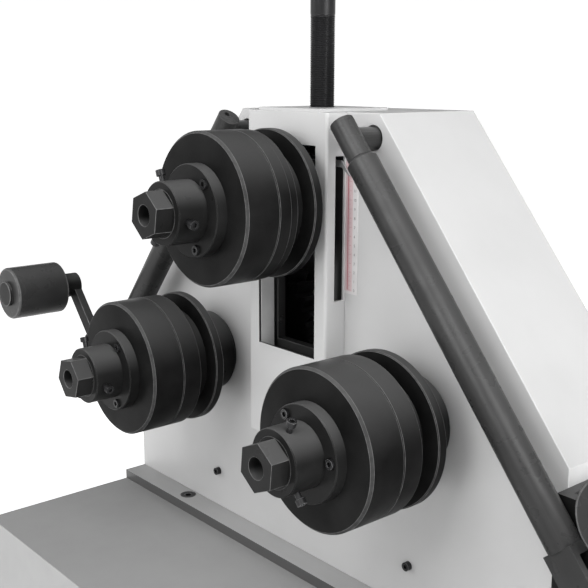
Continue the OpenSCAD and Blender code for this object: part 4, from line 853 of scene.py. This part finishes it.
NUMBER_X, NUMBER_SIZE = 83.2, 4.4
curve = bpy.data.curves.new("digit", "FONT")
writer = bpy.data.objects.new("digit", curve)
bpy.context.scene.collection.objects.link(writer)
curve.size, curve.align_x, curve.align_y = NUMBER_SIZE, "CENTER", "CENTER"
points, faces, start = [], [], 0
for number in range(CENTIMETRES + 1):
    curve.body = str(number)
    bpy.context.view_layer.update()
    written = writer.evaluated_get(bpy.context.evaluated_depsgraph_get())
    flat = bpy.data.meshes.new_from_object(written)
    spot = np.zeros(len(flat.vertices) * 3)
    flat.vertices.foreach_get("co", spot)
    spot = spot.reshape(-1, 3)
    up = ZERO_Z + 10 * number + spot[:, 1]
    points.append(np.stack([NUMBER_X + spot[:, 0], 0 * up + INK_Y0 - 0.01, up], -1))
    faces += [tuple(i + start for i in face.vertices) for face in flat.polygons]
    start += len(spot)
    bpy.data.meshes.remove(flat)
bpy.data.objects.remove(writer)
numbers = mesh_object("scale_numbers", in_head(np.concatenate(points)), faces, scale_ink)
dress(numbers, "frame", slot="label_film")
print("marks:", len(marks), "numbers:", CENTIMETRES + 1)

# %% [markdown]
# ## Controls and inner parts
# The buttons and the switch are moulded, so their edges are rounder than those of steel. The nut,
# the bearings, the gears and the motor are hardly seen; they keep the CAD's mesh and get a
# material.

# %% Buttons and the nodes that keep their CAD mesh
softened("forward_button", 1.4, green_plastic, "forward_key", "green_plastic")
softened("reverse_button", 1.4, black_plastic, "reverse_key", "black_plastic")
softened("stop_button", 3.0, red_plastic, "stop_key", "red_plastic")
softened("main_switch", 1.2, black_plastic, "switch_knob", "black_plastic")
kept = {
    "spindle_nut": nut_bronze, "lower_bearings": gear_steel, "slide_bearings": gear_steel,
    "left_gear": gear_steel, "right_gear": gear_steel, "drive_pinion": gear_steel,
    "motor": motor_enamel,
}
for node, material in kept.items():
    nodes[node].data.materials.clear()
    nodes[node].data.materials.append(material)
print("kept CAD meshes:", ", ".join(kept))

# %% [markdown]
# ## Studio
# The photo's background is pure white. Here it glows only near the horizon. Five
# soft boxes, 3 m from the machine, light it: strongly from the right and the front, weakly from
# above, because the tops are darker than the slopes. The strengths were found by rendering each
# light alone and fitting their sum to the photo. The floor is plain white. Its own glow grows from
# 0.3 near the machine to 1 at a distance of 2.6 m, so it has a soft shadow but no far edge. The
# camera's place, its three turns and its lens were found by fitting edges of the CAD to the photo.

# %% Floor, light and camera
floor_paint, floor_tree, floor_shader, floor_place = start_material(
    "white_floor", Base_Color=linear("#EEEEEE"), Roughness=0.85, Emission_Color=linear("#FFFFFF")
)
far = add_node(floor_tree, "VectorMath", {0: floor_place}, operation="LENGTH").outputs["Value"]
growth = {"Value": far, "From Min": 0.6, "From Max": 2.6, "To Min": 0.3, "To Max": 1.0}
own_glow = add_node(floor_tree, "MapRange", growth, interpolation_type="SMOOTHSTEP")
floor_tree.links.new(own_glow.outputs[0], floor_shader.inputs["Emission Strength"])
FLOOR_HALF = 40.0
corners = [(x * FLOOR_HALF, y * FLOOR_HALF, 0) for x, y in ((-1, -1), (1, -1), (1, 1), (-1, 1))]
floor = mesh_object("floor", corners, [(0, 1, 2, 3)], floor_paint)
floor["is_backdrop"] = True

world = bpy.data.worlds.new("white_studio")
bpy.context.scene.world = world
world.use_nodes = True
sky = world.node_tree
sky.nodes.clear()
up = add_node(sky, "SeparateXYZ", {0: add_node(sky, "TexCoord").outputs["Generated"]}).outputs["Z"]
fall = {"Value": up, "From Min": 0.17, "From Max": 0.25, "To Min": 1.02, "To Max": 0.02}
dim = add_node(sky, "MapRange", fall, interpolation_type="SMOOTHSTEP")
glow = add_node(sky, "Background", {"Color": linear("#FFFFFF"), "Strength": dim.outputs[0]})
add_node(sky, "OutputWorld", {"Surface": glow.outputs[0]})


BOX_SIZE, BOX_AWAY, BOX_TARGET = 1.6, 3.0, Vector((0.0, -0.05, 1.0))


def soft_box(name, direction, power):
    """A square area light of power watts, in a direction from the head, that looks at it."""
    data = bpy.data.lights.new(name, "AREA")
    data.shape, data.size, data.energy = "SQUARE", BOX_SIZE, power
    lamp = bpy.data.objects.new(name, data)
    lamp.location = BOX_TARGET + Vector(direction).normalized() * BOX_AWAY
    lamp.rotation_euler = (-Vector(direction)).to_track_quat("-Z", "Y").to_euler()
    bpy.context.scene.collection.objects.link(lamp)


soft_box("box_right", (0.95, -0.1, 0.3), 84)
soft_box("box_front", (0.1, -0.9, 0.5), 45)
soft_box("box_front_left", (-0.6, -0.7, 0.4), 25)
soft_box("box_front_high", (0.2, -0.55, 0.8), 24)
soft_box("box_right_high", (0.6, -0.25, 0.75), 21)

camera_data = bpy.data.cameras.new("photo_camera")
LENS_MM, CAMERA_PLACE = 60.5, (0.8535, -0.7821, 1.28625)
YAW, DOWN, ROLL = (math.radians(a) for a in (49.63, 12.29, 0.13))
camera_data.lens, camera_data.sensor_width = LENS_MM, 36.0
camera_data.clip_start, camera_data.clip_end = 0.05, 200.0
camera = bpy.data.objects.new("photo_camera", camera_data)
camera.location = CAMERA_PLACE
turn = Matrix.Rotation(YAW, 3, "Z")
tilt = Matrix.Rotation(math.pi / 2 - DOWN, 3, "X")
camera.rotation_euler = (turn @ tilt @ Matrix.Rotation(ROLL, 3, "Z")).to_euler()
bpy.context.scene.collection.objects.link(camera)
bpy.context.scene.camera = camera
bpy.context.scene.view_settings.view_transform = "Standard"
print("camera at", [round(v, 3) for v in camera.location])

# %% [markdown]
# ## The dressed model's box
# The dressed model must have the size of the CAD part. The box round its shown pieces is measured
# here.

# %% Sizes
low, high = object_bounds()
